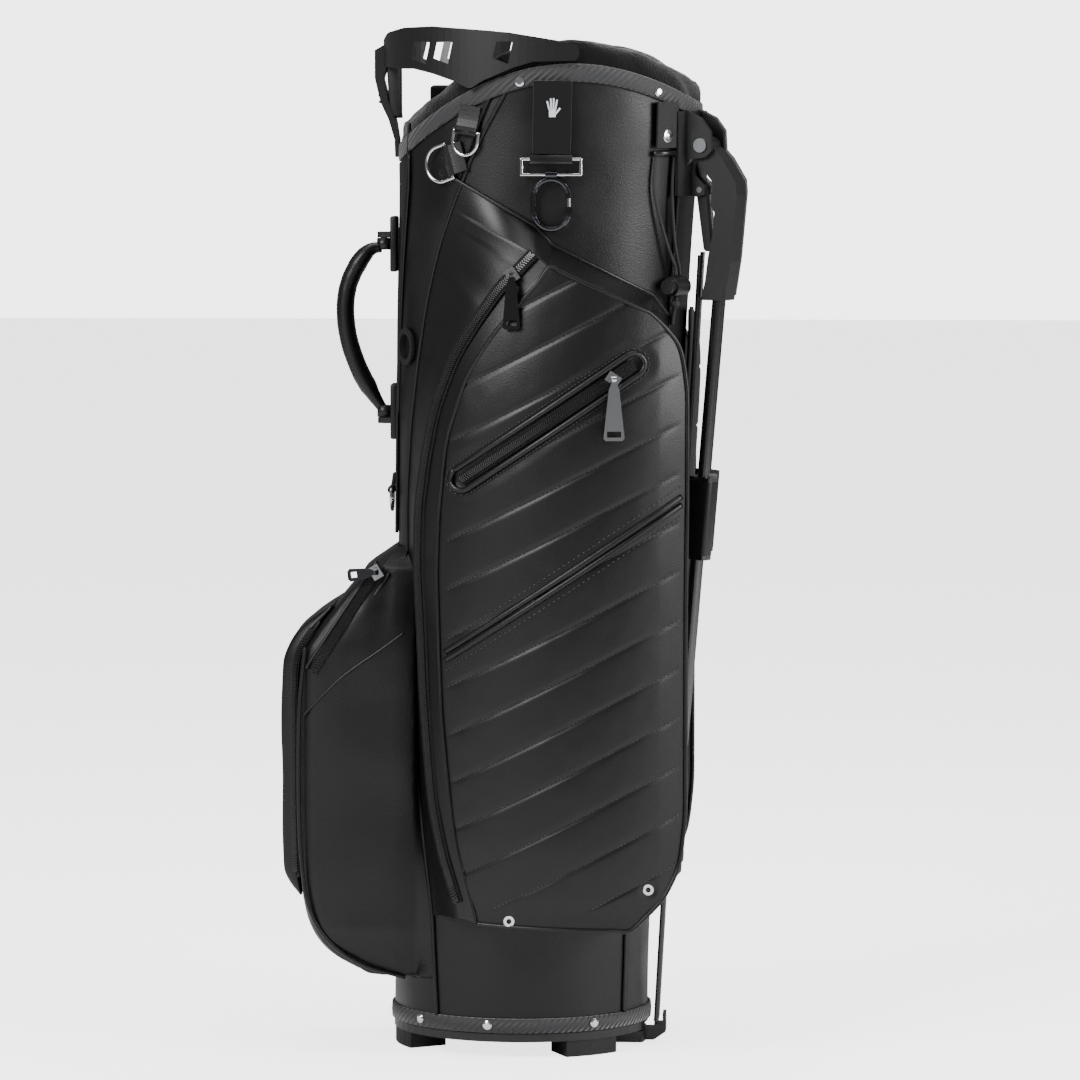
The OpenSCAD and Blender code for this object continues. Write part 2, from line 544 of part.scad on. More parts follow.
module ball_front() color("#19191b") thick_sheet([for (i = [0 : 9]) let (z = mix(134, 386, i / 9),
        rise = (i == 0 || i == 9) ? 0 : (i == 8 ? 0.7 : 1), base = -lookup(z, ball_front_x) + 2.2)
    [for (j = [0 : 8]) let (w = 1 - j / 4, k = (abs(w) == 1 ? 0 : (abs(w) > 0.7 ? 0.75 : 1)) * rise)
        [-base - k * (flap_out - base), w * (ball_half_w - 16), z]]], 2.6);

// ---- umbrella hole

umbrella_t = -156;
umbrella_z = 608;
module umbrella_grommet() color("#141415") at_skin(umbrella_t, umbrella_z, 0) rotate([0, 90, 0]) difference() {
    union() {
        translate([0, 0, -5]) cylinder(r = umbrella_r + 2.6, h = 8);
        translate([0, 0, 1.6]) cylinder(r = umbrella_r + 5, h = 2.4);
    }
    translate([0, 0, -8]) cylinder(r = umbrella_r, h = 20);
}

// ---- D rings: each hangs from a bar that runs along +Y in its own frame

module d_ring(w, leg) {
    r = ring_wire / 2;
    rotate([90, 0, 0]) cylinder(r = r, h = w, center = true, $fn = 20);
    for (side = [-1, 1]) {
        translate([0, side * w / 2, 0]) sphere(r, $fn = 20);
        translate([0, side * w / 2, -leg]) cylinder(r = r, h = leg, $fn = 20);
    }
    translate([0, 0, -leg]) rotate([0, 0, 90]) rotate([-90, 0, 0]) rotate_extrude(angle = 180)
        translate([w / 2, 0]) circle(r, $fn = 20);
}
// the fold of strap round a ring's bar, with its tail running up to the seam that holds it
module ring_loop(w, tail) {
    difference() {
        rotate([90, 0, 0]) cylinder(r = ring_wire / 2 + 1.6, h = w, center = true);
        rotate([90, 0, 0]) cylinder(r = ring_wire / 2 + RUN, h = w + 2, center = true);
    }
    translate([-2.8, -w / 2, 2]) cube([1.6, w, tail]);
    translate([-2.8, -w / 2, 0]) cube([1.2, w, 3]);
}
ring_out = 4.2;
side_ring_t = -134;
side_ring_z = 768;
side_ring_roll = -22;
top_ring_t = -122;
top_ring_z = 793;
spine_ring_z = 482;
module side_ring_place() at_skin(side_ring_t + 6, side_ring_z, ring_out)
    rotate([side_ring_roll - 50, 0, 0]) children();
module top_ring_place() at_skin(top_ring_t + 2, top_ring_z, ring_out) rotate([-8, 0, 0]) children();
module spine_ring_place() translate([-body_left(spine_ring_z) - 6, 0, spine_ring_z]) rotate([0, 0, 180]) children();
module d_ring_side() color("silver") side_ring_place() d_ring(30, 9);
module d_ring_top() color("silver") top_ring_place() d_ring(24, 8);
module d_ring_spine() color("silver") spine_ring_place() d_ring(24, 6);
module ring_straps() color("#19191a") {
    side_ring_place() ring_loop(26, 8);
    top_ring_place() ring_loop(20, 14);
    spine_ring_place() ring_loop(20, 10);
}

// ---- glove strap, its ring and the carabiner

glove_t = -87;
glove_z = [772, 836];
module glove_strap() color("#0e0e0f") {
    thick_sheet([for (i = [0 : 4]) let (z = mix(glove_z[0] + 3, glove_z[1], i / 4)) [for (j = [0 : 4])
        skin(mix(glove_t - 8.2, glove_t + 8.2, j / 4), z, z > rim_height - 22 ? 5.4 : 4.6)]], 3.6);
    strap_ring_place() ring_loop(36, 4);
}
strap_ring_z = 770;
module strap_ring_place() at_skin(glove_t, strap_ring_z, 5) children();
ring_w = 50;
ring_drop = 13;
module strap_ring() color("silver") strap_ring_place() {
    r = ring_wire / 2;
    for (z = [0, -ring_drop]) translate([0, 0, z]) rotate([90, 0, 0])
        cylinder(r = r, h = ring_w, center = true, $fn = 20);
    for (side = [-1, 1]) translate([0, side * ring_w / 2, 0]) {
        for (z = [0, -ring_drop]) translate([0, 0, z]) sphere(r, $fn = 20);
        translate([0, 0, -ring_drop]) cylinder(r = r, h = ring_drop, $fn = 20);
    }
}
// oval snap link that hangs from the strap ring's lower bar, with its gate on the leg side
snap_r = 15;
snap_len = 12;
snap_wire = 2.4;
snap_eye = 3.2; // radius of the eye that turns on the ring's lower bar
module snap_place() strap_ring_place() translate([0, 0, -ring_drop - snap_eye - 1 - snap_r]) children();
snap_path = [for (a = [0 : 15 : 180]) [0, snap_r * cos(a), snap_r * sin(a)],
    for (a = [180 : 15 : 360]) [0, snap_r * cos(a), snap_r * sin(a) - snap_len]];
module carabiner() color("#1a1a1b") snap_place() {
    translate([0, 0, snap_r + 1 + snap_eye]) rotate([90, 0, 0]) difference() {
        cylinder(r = snap_eye, h = 10, center = true);
        cylinder(r = ring_wire / 2 + RUN, h = 12, center = true);
    }
    loft(sweep_rings(snap_path, [1, 0.01, 0.02], round_section(snap_wire, 12)));
    for (x = [-1, 1]) translate([x * 2.65, snap_r, -snap_len + 1]) rotate([0, 90, 0])
        cylinder(r = 3.2, h = 2.1, center = true);
    translate([0, snap_r, -snap_len + 2.5]) rotate([0, 90, 0]) cylinder(r = 1, h = 4, center = true);
}
module carabiner_gate() color("silver") snap_place() difference() {
    union() {
        translate([0, snap_r, -snap_len + 3.7]) cylinder(r = 1.5, h = snap_len - 4.5);
        translate([0, snap_r, -snap_len + 2.5]) rotate([0, 90, 0]) cylinder(r = 2.1, h = 3, center = true);
    }
    translate([0, snap_r, -snap_len + 2.5]) rotate([0, 90, 0]) cylinder(r = 1 + RUN, h = 9, center = true);
}

// ---- snap tab, elastic cord and cord lock

tab_t = -39;
module snap_tab() color("#19191a") {
    thick_sheet([for (i = [0 : 3]) let (z = mix(778, 818, i / 3))
        [for (j = [0 : 3]) skin(mix(tab_t - 6.6, tab_t + 6.6, j / 3), z, i == 3 ? 4.4 : 4)]], 2.6);
    at_skin(tab_t, 789, 4) rotate([0, 90, 0]) cylinder(r = 5, h = 2);
    at_skin(tab_t, 774.5, 3) rotate([90, 0, 0]) cylinder(r = 2.6, h = 27, center = true);
}
lock_z = 661;
lock_t = -31;
module lock_place() at_skin(lock_t, lock_z, 10) children();
cord_r = 1.4;
function cord_strand(side) = [skin(tab_t - side * 5.2, 771.4, 3), skin(tab_t - side * 5, 740, 4),
    skin(mix(tab_t, lock_t, 0.5) - side * 2.6, 700, 7), skin(lock_t - side * 1.2, 676, 9.6),
    skin(lock_t - side * 1.2, 670, 10)];
cord_tail = [skin(lock_t, 652, 10), skin(lock_t + 0.6, 646, 8.5), skin(lock_t + 2, 636, 5), skin(lock_t + 3, 628, 3.4)];
module elastic_cord() color("#161617") {
    for (side = [-1, 1]) loft(sweep_rings(cord_strand(side), [0, 1, 0.2], round_section(cord_r, 8)));
    loft(sweep_rings(cord_tail, [0, 1, 0.2], round_section(2.2, 8)));
}
module cord_lock() color("#121213") lock_place() difference() {
    rotate([90, 0, 0]) cylinder(r = 8.4, h = 18, center = true);
    translate([0, 1, 0]) rotate([90, 0, 0]) cylinder(r = 6.4, h = 20);
}
module lock_button() color("#1c1c1e") lock_place() translate([0, -4, 0]) rotate([90, 0, 0])
    cylinder(r = 6.4 - RUN * 2, h = 11);

// ---- rivets

module rivet() rotate([0, 90, 0]) {
    cylinder(r = 4, h = 1.2);
    translate([0, 0, 1.2]) cylinder(r1 = 4, r2 = 2.4, h = 1, $fn = 32);
}
rim_rivet_x = [6, 119];
module rim_rivets() color("silver") for (side = [-1, 1], x = rim_rivet_x)
    let (t = side * acos((x - mid_x(820)) / half_x(820))) at_skin(t, rim_z(x) - 8, 2.9) rivet();
module base_rivets() color("silver") for (side = [-1, 1], t = [54, 102, 137])
    at_skin(side * t, hem_top - 5, 3.1) rivet();

base_tray();
base_feet();
kick_lever();
actuator_rod();
front_panel();
spine_strip();
near_panel();
far_panel();
leg_panel();
hip_pad();
cuff_ring();
rim_webbing();
rim_collar();
hem_webbing();
divider_top();
divider_long();
divider_cross();
stays();
top_handle();
handle_grip();
rim_rivets();
base_rivets();
carry_handle();
handle_anchors();
near_pocket();
far_pocket();
zip_chains();
near_slider();
near_pull();
far_slider();
far_pull();
welt_slider();
welt_pull();
pocket_eyelets();
ball_pocket();
ball_front();
ball_slider();
ball_pull();
umbrella_grommet();
ring_straps();
d_ring_side();
d_ring_top();
d_ring_spine();
glove_strap();
strap_ring();
carabiner();
carabiner_gate();
snap_tab();
elastic_cord();
cord_lock();
lock_button();
leg_bracket();
pivot_pins();
leg_near();
leg_far();
shroud_near();
shroud_far();
link_near();
link_far();
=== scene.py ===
import math

import bmesh
import bpy
from mathutils import Matrix, Vector, noise


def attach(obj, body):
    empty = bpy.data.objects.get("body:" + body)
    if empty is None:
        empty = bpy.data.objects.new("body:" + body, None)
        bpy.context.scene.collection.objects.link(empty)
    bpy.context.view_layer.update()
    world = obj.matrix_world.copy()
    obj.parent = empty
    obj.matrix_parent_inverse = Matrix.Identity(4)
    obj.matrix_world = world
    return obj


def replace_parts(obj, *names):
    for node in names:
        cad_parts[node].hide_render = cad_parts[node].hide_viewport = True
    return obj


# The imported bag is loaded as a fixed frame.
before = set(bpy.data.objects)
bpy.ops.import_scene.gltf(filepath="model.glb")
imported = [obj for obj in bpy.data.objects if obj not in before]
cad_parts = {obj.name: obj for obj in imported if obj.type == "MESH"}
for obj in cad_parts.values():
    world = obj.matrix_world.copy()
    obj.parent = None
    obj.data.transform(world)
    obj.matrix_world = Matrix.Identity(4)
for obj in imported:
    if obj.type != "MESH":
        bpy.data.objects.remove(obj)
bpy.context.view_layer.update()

# Camera, floor and lights. A long lens a little above the bag looks along +Y,
# and three large soft lights in a pale room give the leather its broad sheen.
def linear(code):
    """A surface's sRGB hex colour in linear light."""
    c = [int(code[i : i + 2], 16) / 255 for i in (1, 3, 5)]
    return [x / 12.92 if x <= 0.04045 else ((x + 0.055) / 1.055) ** 2.4 for x in c] + [1]


def node(tree, kind, inputs=(), **settings):
    """A shader node with its settings; inputs maps a socket to a value or a link."""
    n = tree.nodes.new("ShaderNode" + kind)
    for key, value in settings.items():
        setattr(n, key, value)
    for key, value in dict(inputs).items():
        if isinstance(value, bpy.types.NodeSocket):
            tree.links.new(value, n.inputs[key])
        else:
            n.inputs[key].default_value = value
    return n


camera = bpy.data.objects.new("camera", bpy.data.cameras.new("camera"))
bpy.context.scene.collection.objects.link(camera)
bpy.context.scene.camera = camera
camera.data.lens, camera.data.sensor_width = 188, 36
camera.data.clip_end = 60
aim = Vector((0.017, 0, 0.438))
camera.location = aim + 4.9 * Vector((0.052, -0.995, 0.084)).normalized()
camera.rotation_euler = (aim - camera.location).to_track_quat("-Z", "Y").to_euler()

world = bpy.context.scene.world or bpy.data.worlds.new("room")
bpy.context.scene.world = world
world.use_nodes = True
sky = world.node_tree.nodes["Background"]
sky.inputs["Color"].default_value = linear("#f3f4f5")
seen = node(world.node_tree, "LightPath").outputs["Is Camera Ray"]
level = node(world.node_tree, "MapRange", {"Value": seen, "To Min": 0.22, "To Max": 4.6})
world.node_tree.links.new(level.outputs["Result"], sky.inputs["Strength"])
for name, place, size, power in [
    ("key", (-1.7, -2.0, 2.2), 1.5, 120),
    ("side", (2.3, -0.9, 1.3), 1.2, 80),
    ("top", (0.1, 0.3, 2.6), 1.6, 40),
]:
    lamp = bpy.data.objects.new(name, bpy.data.lights.new(name, "AREA"))
    lamp.data.size, lamp.data.energy = size, power
    lamp.location = place
    lamp.rotation_euler = (Vector((0, 0, 0.45)) - Vector(place)).to_track_quat("-Z", "Y").to_euler()
    bpy.context.scene.collection.objects.link(lamp)


def piece(name, bm, material, body="bag", smooth=True):
    """A mesh object from a bmesh, with its material, riding on a body."""
    mesh = bpy.data.meshes.new(name)
    bm.to_mesh(mesh)
    bm.free()
    obj = bpy.data.objects.new(name, mesh)
    bpy.context.scene.collection.objects.link(obj)
    if material:
        mesh.materials.append(material)
    if smooth:
        mesh.shade_smooth()
    if body:
        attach(obj, body)
    return obj


def surface(name, colour, roughness, **sockets):
    """A material with its Principled shader's plain sockets set."""
    m = bpy.data.materials.new(name)
    m.use_nodes = True
    shader = m.node_tree.nodes["Principled BSDF"].inputs
    shader["Base Color"].default_value = linear(colour)
    shader["Roughness"].default_value = roughness
    for key, value in sockets.items():
        shader[key.replace("_", " ")].default_value = value
    m.diffuse_color = linear(colour)
    return m


def bump(m, height, distance, strength=1.0):
    """Joins a height to the material's Normal."""
    b = node(m.node_tree, "Bump", {"Height": height, "Distance": distance, "Strength": strength})
    m.node_tree.links.new(b.outputs["Normal"], m.node_tree.nodes["Principled BSDF"].inputs["Normal"])
    return b


floor_bm = bmesh.new()
bmesh.ops.create_grid(floor_bm, x_segments=1, y_segments=1, size=14)
bmesh.ops.translate(floor_bm, verts=floor_bm.verts, vec=(0, 0, -0.0005))
floor_paint = surface("floor_paint", "#efeff0", 0.95, Emission_Color=linear("#f1f1f2"),
    Specular_IOR_Level=0.1)
tree = floor_paint.node_tree
glow = node(tree, "MapRange",
    {"Value": node(tree, "LightPath").outputs["Is Camera Ray"], "To Min": 0.02, "To Max": 3.0})
tree.links.new(glow.outputs["Result"], tree.nodes["Principled BSDF"].inputs["Emission Strength"])
piece("floor", floor_bm, floor_paint, body=None, smooth=False)

# The shell of the bag: four sewn panels of coated synthetic leather round an
# oval tube, wider at the top on the legs' side. The leather is cut flat, backed
# with thin foam and sewn to its neighbours with piping, so it lies nearly
# smooth with slow dents and a short pull beside each seam.
def lookup(z, table):
    """The value at z between a table's rows of [z, value]."""
    for (a, va), (b, vb) in zip(table, table[1:]):
        if z <= b:
            return va + (vb - va) * max(0, (z - a) / (b - a))
    return table[-1][1]


def ease(t):
    t = max(0, min(1, t))
    return t * t * (3 - 2 * t)


def mix(a, b, t):
    return a + (b - a) * t


LEG_FACE = [(0, 0.111), (0.12, 0.113), (0.78, 0.154), (0.90, 0.157)]
FRONT_FACE = [(0, 0.110), (0.30, 0.107), (0.56, 0.105), (0.90, 0.101)]


def half_y(z):
    return mix(0.100, 0.112, z / 0.9)


def half_x(z):
    return (lookup(z, LEG_FACE) + lookup(z, FRONT_FACE)) / 2


def mid_x(z):
    return (lookup(z, LEG_FACE) - lookup(z, FRONT_FACE)) / 2


def skin(turn, z, out=0.0):
    """A place on the oval tube: the angle from +X in degrees, the height, and how far out."""
    t = math.radians(turn)
    return Vector(
        (mid_x(z) + (half_x(z) + out) * math.cos(t), (half_y(z) + out) * math.sin(t), z)
    )


def facing(turn, z):
    """The way the tube's skin looks at an angle and a height, in radians round from +X."""
    t = math.radians(turn)
    return math.atan2(math.sin(t) / half_y(z), math.cos(t) / half_x(z))


def skin_depth(x, z):
    """How far the skin is from the middle plane, along Y."""
    return half_y(z) * math.sqrt(max(0, 1 - ((x - mid_x(z)) / half_x(z)) ** 2))


def rim_z(x):
    return 0.849 - 3.0 * (x - 0.05) ** 2


FRONT_SEAM = [
    (0.020, 127.6), (0.125, 131.8), (0.256, 145.4), (0.386, 153.6), (0.473, 155.5), (0.534, 152.5),
    (0.604, 145.6), (0.647, 140.7), (0.691, 134.3), (0.734, 126), (0.786, 115.3), (0.826, 104.7),
    (0.85, 100),
]
LEG_SEAM = [(0.020, 35), (0.85, 26)]
SPINE_HALF = [(0.44, 6), (0.56, 8), (0.70, 17), (0.785, 24)]


def laid(columns, rows, place):
    """A grid of faces laid on place(u, v), with u and v from 0 to 1, facing out to the left of u x v."""
    bm = bmesh.new()
    bmesh.ops.create_grid(bm, x_segments=columns, y_segments=rows, size=0.5)
    bm.verts.ensure_lookup_table()
    for v in bm.verts:
        v.co = place(v.co.x + 0.5, v.co.y + 0.5)
    return bm


def thicken(obj, depth):
    """A sheet's real thickness, built inwards from its outer face."""
    solid = obj.modifiers.new("thickness", "SOLIDIFY")
    solid.thickness, solid.offset = depth, -1
    return obj


leather = surface("synthetic_leather", "#060607", 0.42, Specular_IOR_Level=0.38)
# Coated microfibre leather: a fine pebbled grain, about 1.1 mm on the real thing
# and drawn at 1.3 mm so that it shows, breaks the sheen into a soft glow.
t = leather.node_tree
place = node(t, "TexCoord").outputs["Object"]
grain = node(t, "TexVoronoi", {"Vector": place, "Scale": 1 / 0.0013}, feature="SMOOTH_F1")
creases = node(t, "TexNoise", {"Vector": place, "Scale": 1 / 0.05, "Detail": 4.0})
worn = node(t, "MapRange",
    {"Value": creases.outputs["Fac"], "From Min": 0.35, "From Max": 0.7, "To Min": 0.36, "To Max": 0.48})
t.links.new(worn.outputs["Result"], t.nodes["Principled BSDF"].inputs["Roughness"])
bump(leather, grain.outputs["Distance"], 0.00022, 0.45)


def slack(p, size=1.0):
    """How far the leather sags in or lifts at a place, in metres."""
    slow = noise.noise(p * 9.0) * 0.0011 + noise.noise(Vector((p.x * 30, p.y * 30, p.z * 11))) * 0.0005
    return slow * size


def panel(name, start, end, cad, columns=60, rows=200, low=0.024, drop=0.001, out=0.0, depth=0.0026,
    margin=0.02):
    """A shell panel between two seams, each given as the angle at a height."""

    def at(u, v):
        turn_z = mix(low, 0.815, v)
        a, b = start(turn_z), end(turn_z)
        turn = mix(a, b, u)
        z = mix(low, rim_z(skin(turn, 0.84).x) - drop, v)
        near_seam = min(u, 1 - u) * abs(math.radians(b - a)) * 0.12
        roll = 0.0006 * (1 - ease(near_seam / 0.006))
        p = skin(turn, z, out)
        return skin(turn, z, out + slack(p) * ease(near_seam / margin) * ease((1 - v) / 0.05) - roll)

    obj = thicken(piece(name, laid(columns, rows, at), leather), depth)
    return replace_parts(obj, cad)


gap = 0.15
panel("near_side_panel", lambda z: -lookup(z, FRONT_SEAM) + gap, lambda z: -lookup(z, LEG_SEAM) - gap,
    "near_panel")
panel("far_side_panel", lambda z: lookup(z, LEG_SEAM) + gap, lambda z: lookup(z, FRONT_SEAM) - gap,
    "far_panel")
panel("leg_side_panel", lambda z: -lookup(z, LEG_SEAM) + gap, lambda z: lookup(z, LEG_SEAM) - gap,
    "leg_panel")
panel("front_side_panel", lambda z: lookup(z, FRONT_SEAM) + gap,
    lambda z: 360 - lookup(z, FRONT_SEAM) - gap, "front_panel")
panel("spine_panel", lambda z: 180 - lookup(z, SPINE_HALF), lambda z: 180 + lookup(z, SPINE_HALF),
    "spine_strip",
              columns=24, rows=80, low=0.445, drop=0.016, out=0.0022, depth=0.0014)


# Piping: a 3 mm cord wrapped in a strip of the same leather and caught in the
# seam between two panels, so a round bead runs along every seam. A running
# bead is 3.4 mm across on the front seams and 3 mm on the legs' side.
def run(points, radius, name, material, body="bag", sides=8, step=0.004):
    """A tube through points, made smooth, as a curve turned to a mesh."""
    curve = bpy.data.curves.new(name, "CURVE")
    curve.dimensions = "3D"
    curve.bevel_depth, curve.bevel_resolution = radius, max(1, sides // 4)
    curve.use_fill_caps = True
    spline = curve.splines.new("POLY")
    pts = smooth_line(points, step)
    spline.points.add(len(pts) - 1)
    for sp, p in zip(spline.points, pts):
        sp.co = (*p, 1)
    holder = bpy.data.objects.new(name + "_line", curve)
    bpy.context.scene.collection.objects.link(holder)
    mesh = bpy.data.meshes.new_from_object(holder.evaluated_get(bpy.context.evaluated_depsgraph_get()))
    bpy.data.objects.remove(holder)
    bm = bmesh.new()
    bm.from_mesh(mesh)
    bpy.data.meshes.remove(mesh)
    bmesh.ops.remove_doubles(bm, verts=bm.verts, dist=1e-6)
    bmesh.ops.recalc_face_normals(bm, faces=bm.faces)
    return piece(name, bm, material, body)


def smooth_line(points, step=0.004):
    """The points of a smooth line through a few points, about a step apart."""
    pts = [Vector(p) for p in points]
    if len(pts) < 3:
        n = max(1, int((pts[1] - pts[0]).length / step))
        return [pts[0].lerp(pts[1], i / n) for i in range(n + 1)]
    out = []
    for i in range(len(pts) - 1):
        p0, p1 = pts[max(i - 1, 0)], pts[i]
        p2, p3 = pts[i + 1], pts[min(i + 2, len(pts) - 1)]
        n = max(1, round((p2 - p1).length / step))
        for k in range(n):
            s = k / n
            out.append(
                0.5 * ((2 * p1) + (p2 - p0) * s + (2 * p0 - 5 * p1 + 4 * p2 - p3) * s * s
                + (3 * p1 - p0 - 3 * p2 + p3) * s**3)
            )
    out.append(pts[-1])
    return out


def seam_points(table, side, low, high, out=0.0006, count=30):
    return [skin(side * lookup(z, table), z, out)
        for z in [mix(low, high, i / count) for i in range(count + 1)]]


for side, word in ((-1, "near"), (1, "far")):
    high = rim_z(skin(100, 0.84).x) - 0.012
    run(seam_points(FRONT_SEAM, side, 0.034, high), 0.0017, f"{word}_front_piping", leather)
    run(seam_points(LEG_SEAM, side, 0.034, rim_z(0.145) - 0.012), 0.0015, f"{word}_leg_piping", leather)
    run([skin(180 + side * lookup(z, SPINE_HALF), z, 0.0018)
        for z in [mix(0.445, 0.80, i / 16) for i in range(17)]],
        0.0014, f"{word}_spine_piping", leather)


# The side pockets, one on each side: a padded leather face held out from the
# tube by a plain leather gusset, with a long curved zip between the two. The
# near face is quilted in slanting rows.
def curved(z, table, reach=0.012):
    """A table's value with its corners eased over a short reach, as cut leather turns."""
    return (lookup(z - reach, table) + 2 * lookup(z - reach / 2, table) + 2 * lookup(z, table)
        + 2 * lookup(z + reach / 2, table) + lookup(z + reach, table)) / 8


ZIP_LINE = [
    (0.123, -0.042), (0.143, -0.048), (0.177, -0.059), (0.221, -0.068), (0.264, -0.072), (0.317, -0.076),
    (0.369, -0.078),
    (0.421, -0.081), (0.473, -0.080), (0.517, -0.074), (0.560, -0.065), (0.604, -0.048), (0.639, -0.026),
    (0.669, -0.004), (0.691, 0.023),
]
FACE_LEFT = [
    (0.121, -0.030), (0.151, -0.039), (0.195, -0.050), (0.247, -0.056), (0.299, -0.061), (0.351, -0.063),
    (0.421, -0.065),
    (0.473, -0.063), (0.534, -0.056), (0.586, -0.039), (0.621, -0.017), (0.652, 0.009), (0.680, 0.035),
]
FACE_RIGHT = [
    (0.117, 0.095), (0.123, 0.108), (0.138, 0.126), (0.169, 0.142), (0.212, 0.147), (0.386, 0.147),
    (0.490, 0.148),
    (0.575, 0.148), (0.610, 0.143), (0.626, 0.134), (0.636, 0.122), (0.640, 0.112),
]


FACE_ROUND = 0.175  # radius of the face as seen from above


def face_depth(x, z):
    """How far out the pocket's face is: round, and drawn in at its top and foot."""
    return (
        0.152 - FACE_ROUND + math.sqrt(FACE_ROUND**2 - (x - 0.045) ** 2)
        - 0.014 * ease((z - 0.52) / 0.2) - 0.006 * ease((0.2 - z) / 0.1)
    )


def on_face(x, z, out=0.0):
    return Vector((x, -face_depth(x, z) - out, z))


def zip_rise(s):
    """How far out the zip lies at s up the pocket, from 0 on the tube to 1 level with the face."""
    return mix(0.8, 0.92, ease((s - 0.8) / 0.2))


def pocket_at(band, k, s):
    """A place on the pocket. Band 0 runs from the seam to the zip, 1 from the zip to the face,
    2 is the face and 3 runs from the face to the leg seam."""
    za, zz = mix(0.121, 0.728, s), mix(0.123, 0.691, s)
    zc, zb, zl = mix(0.121, 0.680, s), mix(0.117, 0.640, s), mix(0.126, 0.626, s)
    a = skin(-lookup(za, FRONT_SEAM), za, 0.0006)
    zx = curved(zz, ZIP_LINE)
    zip_p = Vector((zx, -mix(skin_depth(zx, zz) + 0.0006, face_depth(zx, zz), zip_rise(s)), zz))
    c, b = (curved(zc, FACE_LEFT), zc), (curved(zb, FACE_RIGHT), zb)
    if band == 0:
        x, z = mix(a.x, zx, k), mix(za, zz, k)
        return Vector((x, -mix(skin_depth(x, z) + 0.0006, face_depth(x, z), zip_rise(s) * ease(k)), z))
    if band == 1:
        return zip_p.lerp(on_face(*c), k)
    if band == 2:
        return on_face(mix(c[0], b[0], k), mix(c[1], b[1], k))
    return on_face(*b).lerp(skin(-lookup(zl, LEG_SEAM), zl, 0.0006), k)


def pocket_row_point(t, s):
    """t runs 0 to 4 over the pocket's four bands and s up it.
    Below 0 and above 1 the edge turns back to the tube."""
    band = min(3, int(t))
    p = pocket_at(band, t - band, max(0.0, min(1.0, s)))
    if 0 <= s <= 1:
        return p
    over = min(1.0, -s if s < 0 else s - 1)
    lift = mix(-0.001, 0.002, t / 4) if s < 0 else mix(0.027, 0.010, t / 4)
    x = min(p.x, 0.138)
    q = Vector((x, -skin_depth(x, p.z + lift) - 0.0006, p.z + lift))
    return p.lerp(q, over)


RISE = math.tan(math.radians(27))  # slant of the quilting rows
ROW = 0.0415  # height from one row to the next
quilted_from = 0.135  # lowest height that is quilted


def quilt_phase(x, z):
    """Rows counted up the face along the slant; a whole number is a stitched row."""
    return (z - RISE * (x - 0.045)) / ROW


WELT_LOW, WELT_HIGH = (-0.043, 0.500), (0.103, 0.598)  # ends of the welted pocket's middle line


def welt_distance(x, z):
    """How far a place is from the welted pocket's middle line, and where along it from 0 to 1."""
    a, b = Vector(WELT_LOW), Vector(WELT_HIGH)
    d = b - a
    s = max(0, min(1, (Vector((x, z)) - a).dot(d) / d.length_squared))
    return (Vector((x, z)) - a - d * s).length, s


def quilt_lift(x, z):
    """How far the quilted leather puffs out at a place, sunk along each row and flat round the welt."""
    f = quilt_phase(x, z)
    puff = abs(math.sin(math.pi * f)) ** 0.3 - 0.55 * math.exp(-((f - round(f)) * ROW / 0.0017) ** 2)
    edge = min(1.0, max(0.0, (x + 0.058) / 0.018), max(0.0, (0.143 - x) / 0.018))
    near_welt, s = welt_distance(x, z)
    flat = ease((near_welt - 0.011) / 0.012)
    for ex, ez in ((-0.002, 0.125), (0.116, 0.152)):
        flat *= ease((math.hypot(x - ex, z - ez) - 0.004) / 0.006)
    fold = 0.0009 * noise.noise(Vector((x * 70, f * 1.7, z * 24)))
    height = (0.0013 * puff + 0.3 * fold * abs(puff)) * edge * flat * ease((z - 0.128) / 0.02)
    if near_welt < 0.011:
        height -= 0.0025 * (1 - (near_welt / 0.011) ** 2)
    return height


quilted = surface("quilted_leather", "#060607", 0.40, Specular_IOR_Level=0.38)
# The same coated leather over soft foam: stretched tighter, so the grain is
# finer, about 0.9 mm and drawn at 1.1 mm, and the rows catch long soft lights.
t = quilted.node_tree
place = node(t, "TexCoord").outputs["Object"]
grain = node(t, "TexVoronoi", {"Vector": place, "Scale": 1 / 0.0011}, feature="SMOOTH_F1")
bump(quilted, grain.outputs["Distance"], 0.0002, 0.4)


def side_pocket(name, side, material, cad, quilt):
    """A whole side pocket on the near side, -1, or the far one, 1."""
    def at(u, v):
        s = mix(-0.16, 1.13, v)
        s = s / 0.16 if s < 0 else (1 + (s - 1) / 0.13 if s > 1 else s)
        # most of the columns lie on the quilted face
        t = lookup(u, [(0, 0), (0.12, 1), (0.18, 2), (0.92, 3), (1, 4)])
        p = pocket_row_point(t, s)
        if quilt and 2 <= t <= 3 and 0 <= s <= 1:
            p.y -= quilt_lift(p.x, p.z)
        elif 0 <= s <= 1:
            p.y -= slack(p, 1.3) * ease(min(1, (t - int(t)) * 4, (int(t) + 1 - t) * 4))
        if t < 1 and 0.02 < s < 0.98:
            gather = math.sin(t * math.pi) * noise.noise(Vector((p.x * 8, 3.0, p.z * 46 + p.x * 40)))
            p.y -= 0.0016 * gather
        p.y = p.y * -side
        return p

    bm = laid(*((205, 470) if quilt else (120, 240)), at)
    if side > 0:
        bmesh.ops.reverse_faces(bm, faces=bm.faces)
    obj = piece(name, bm, material)
    if not quilt:
        thicken(obj, 0.003)
    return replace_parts(obj, cad)


def mirrored(points):
    return [Vector((p.x, -p.y, p.z)) for p in points]


side_pocket("near_side_pocket", -1, quilted, "near_pocket", True)
side_pocket("far_side_pocket", 1, leather, "far_pocket", False)

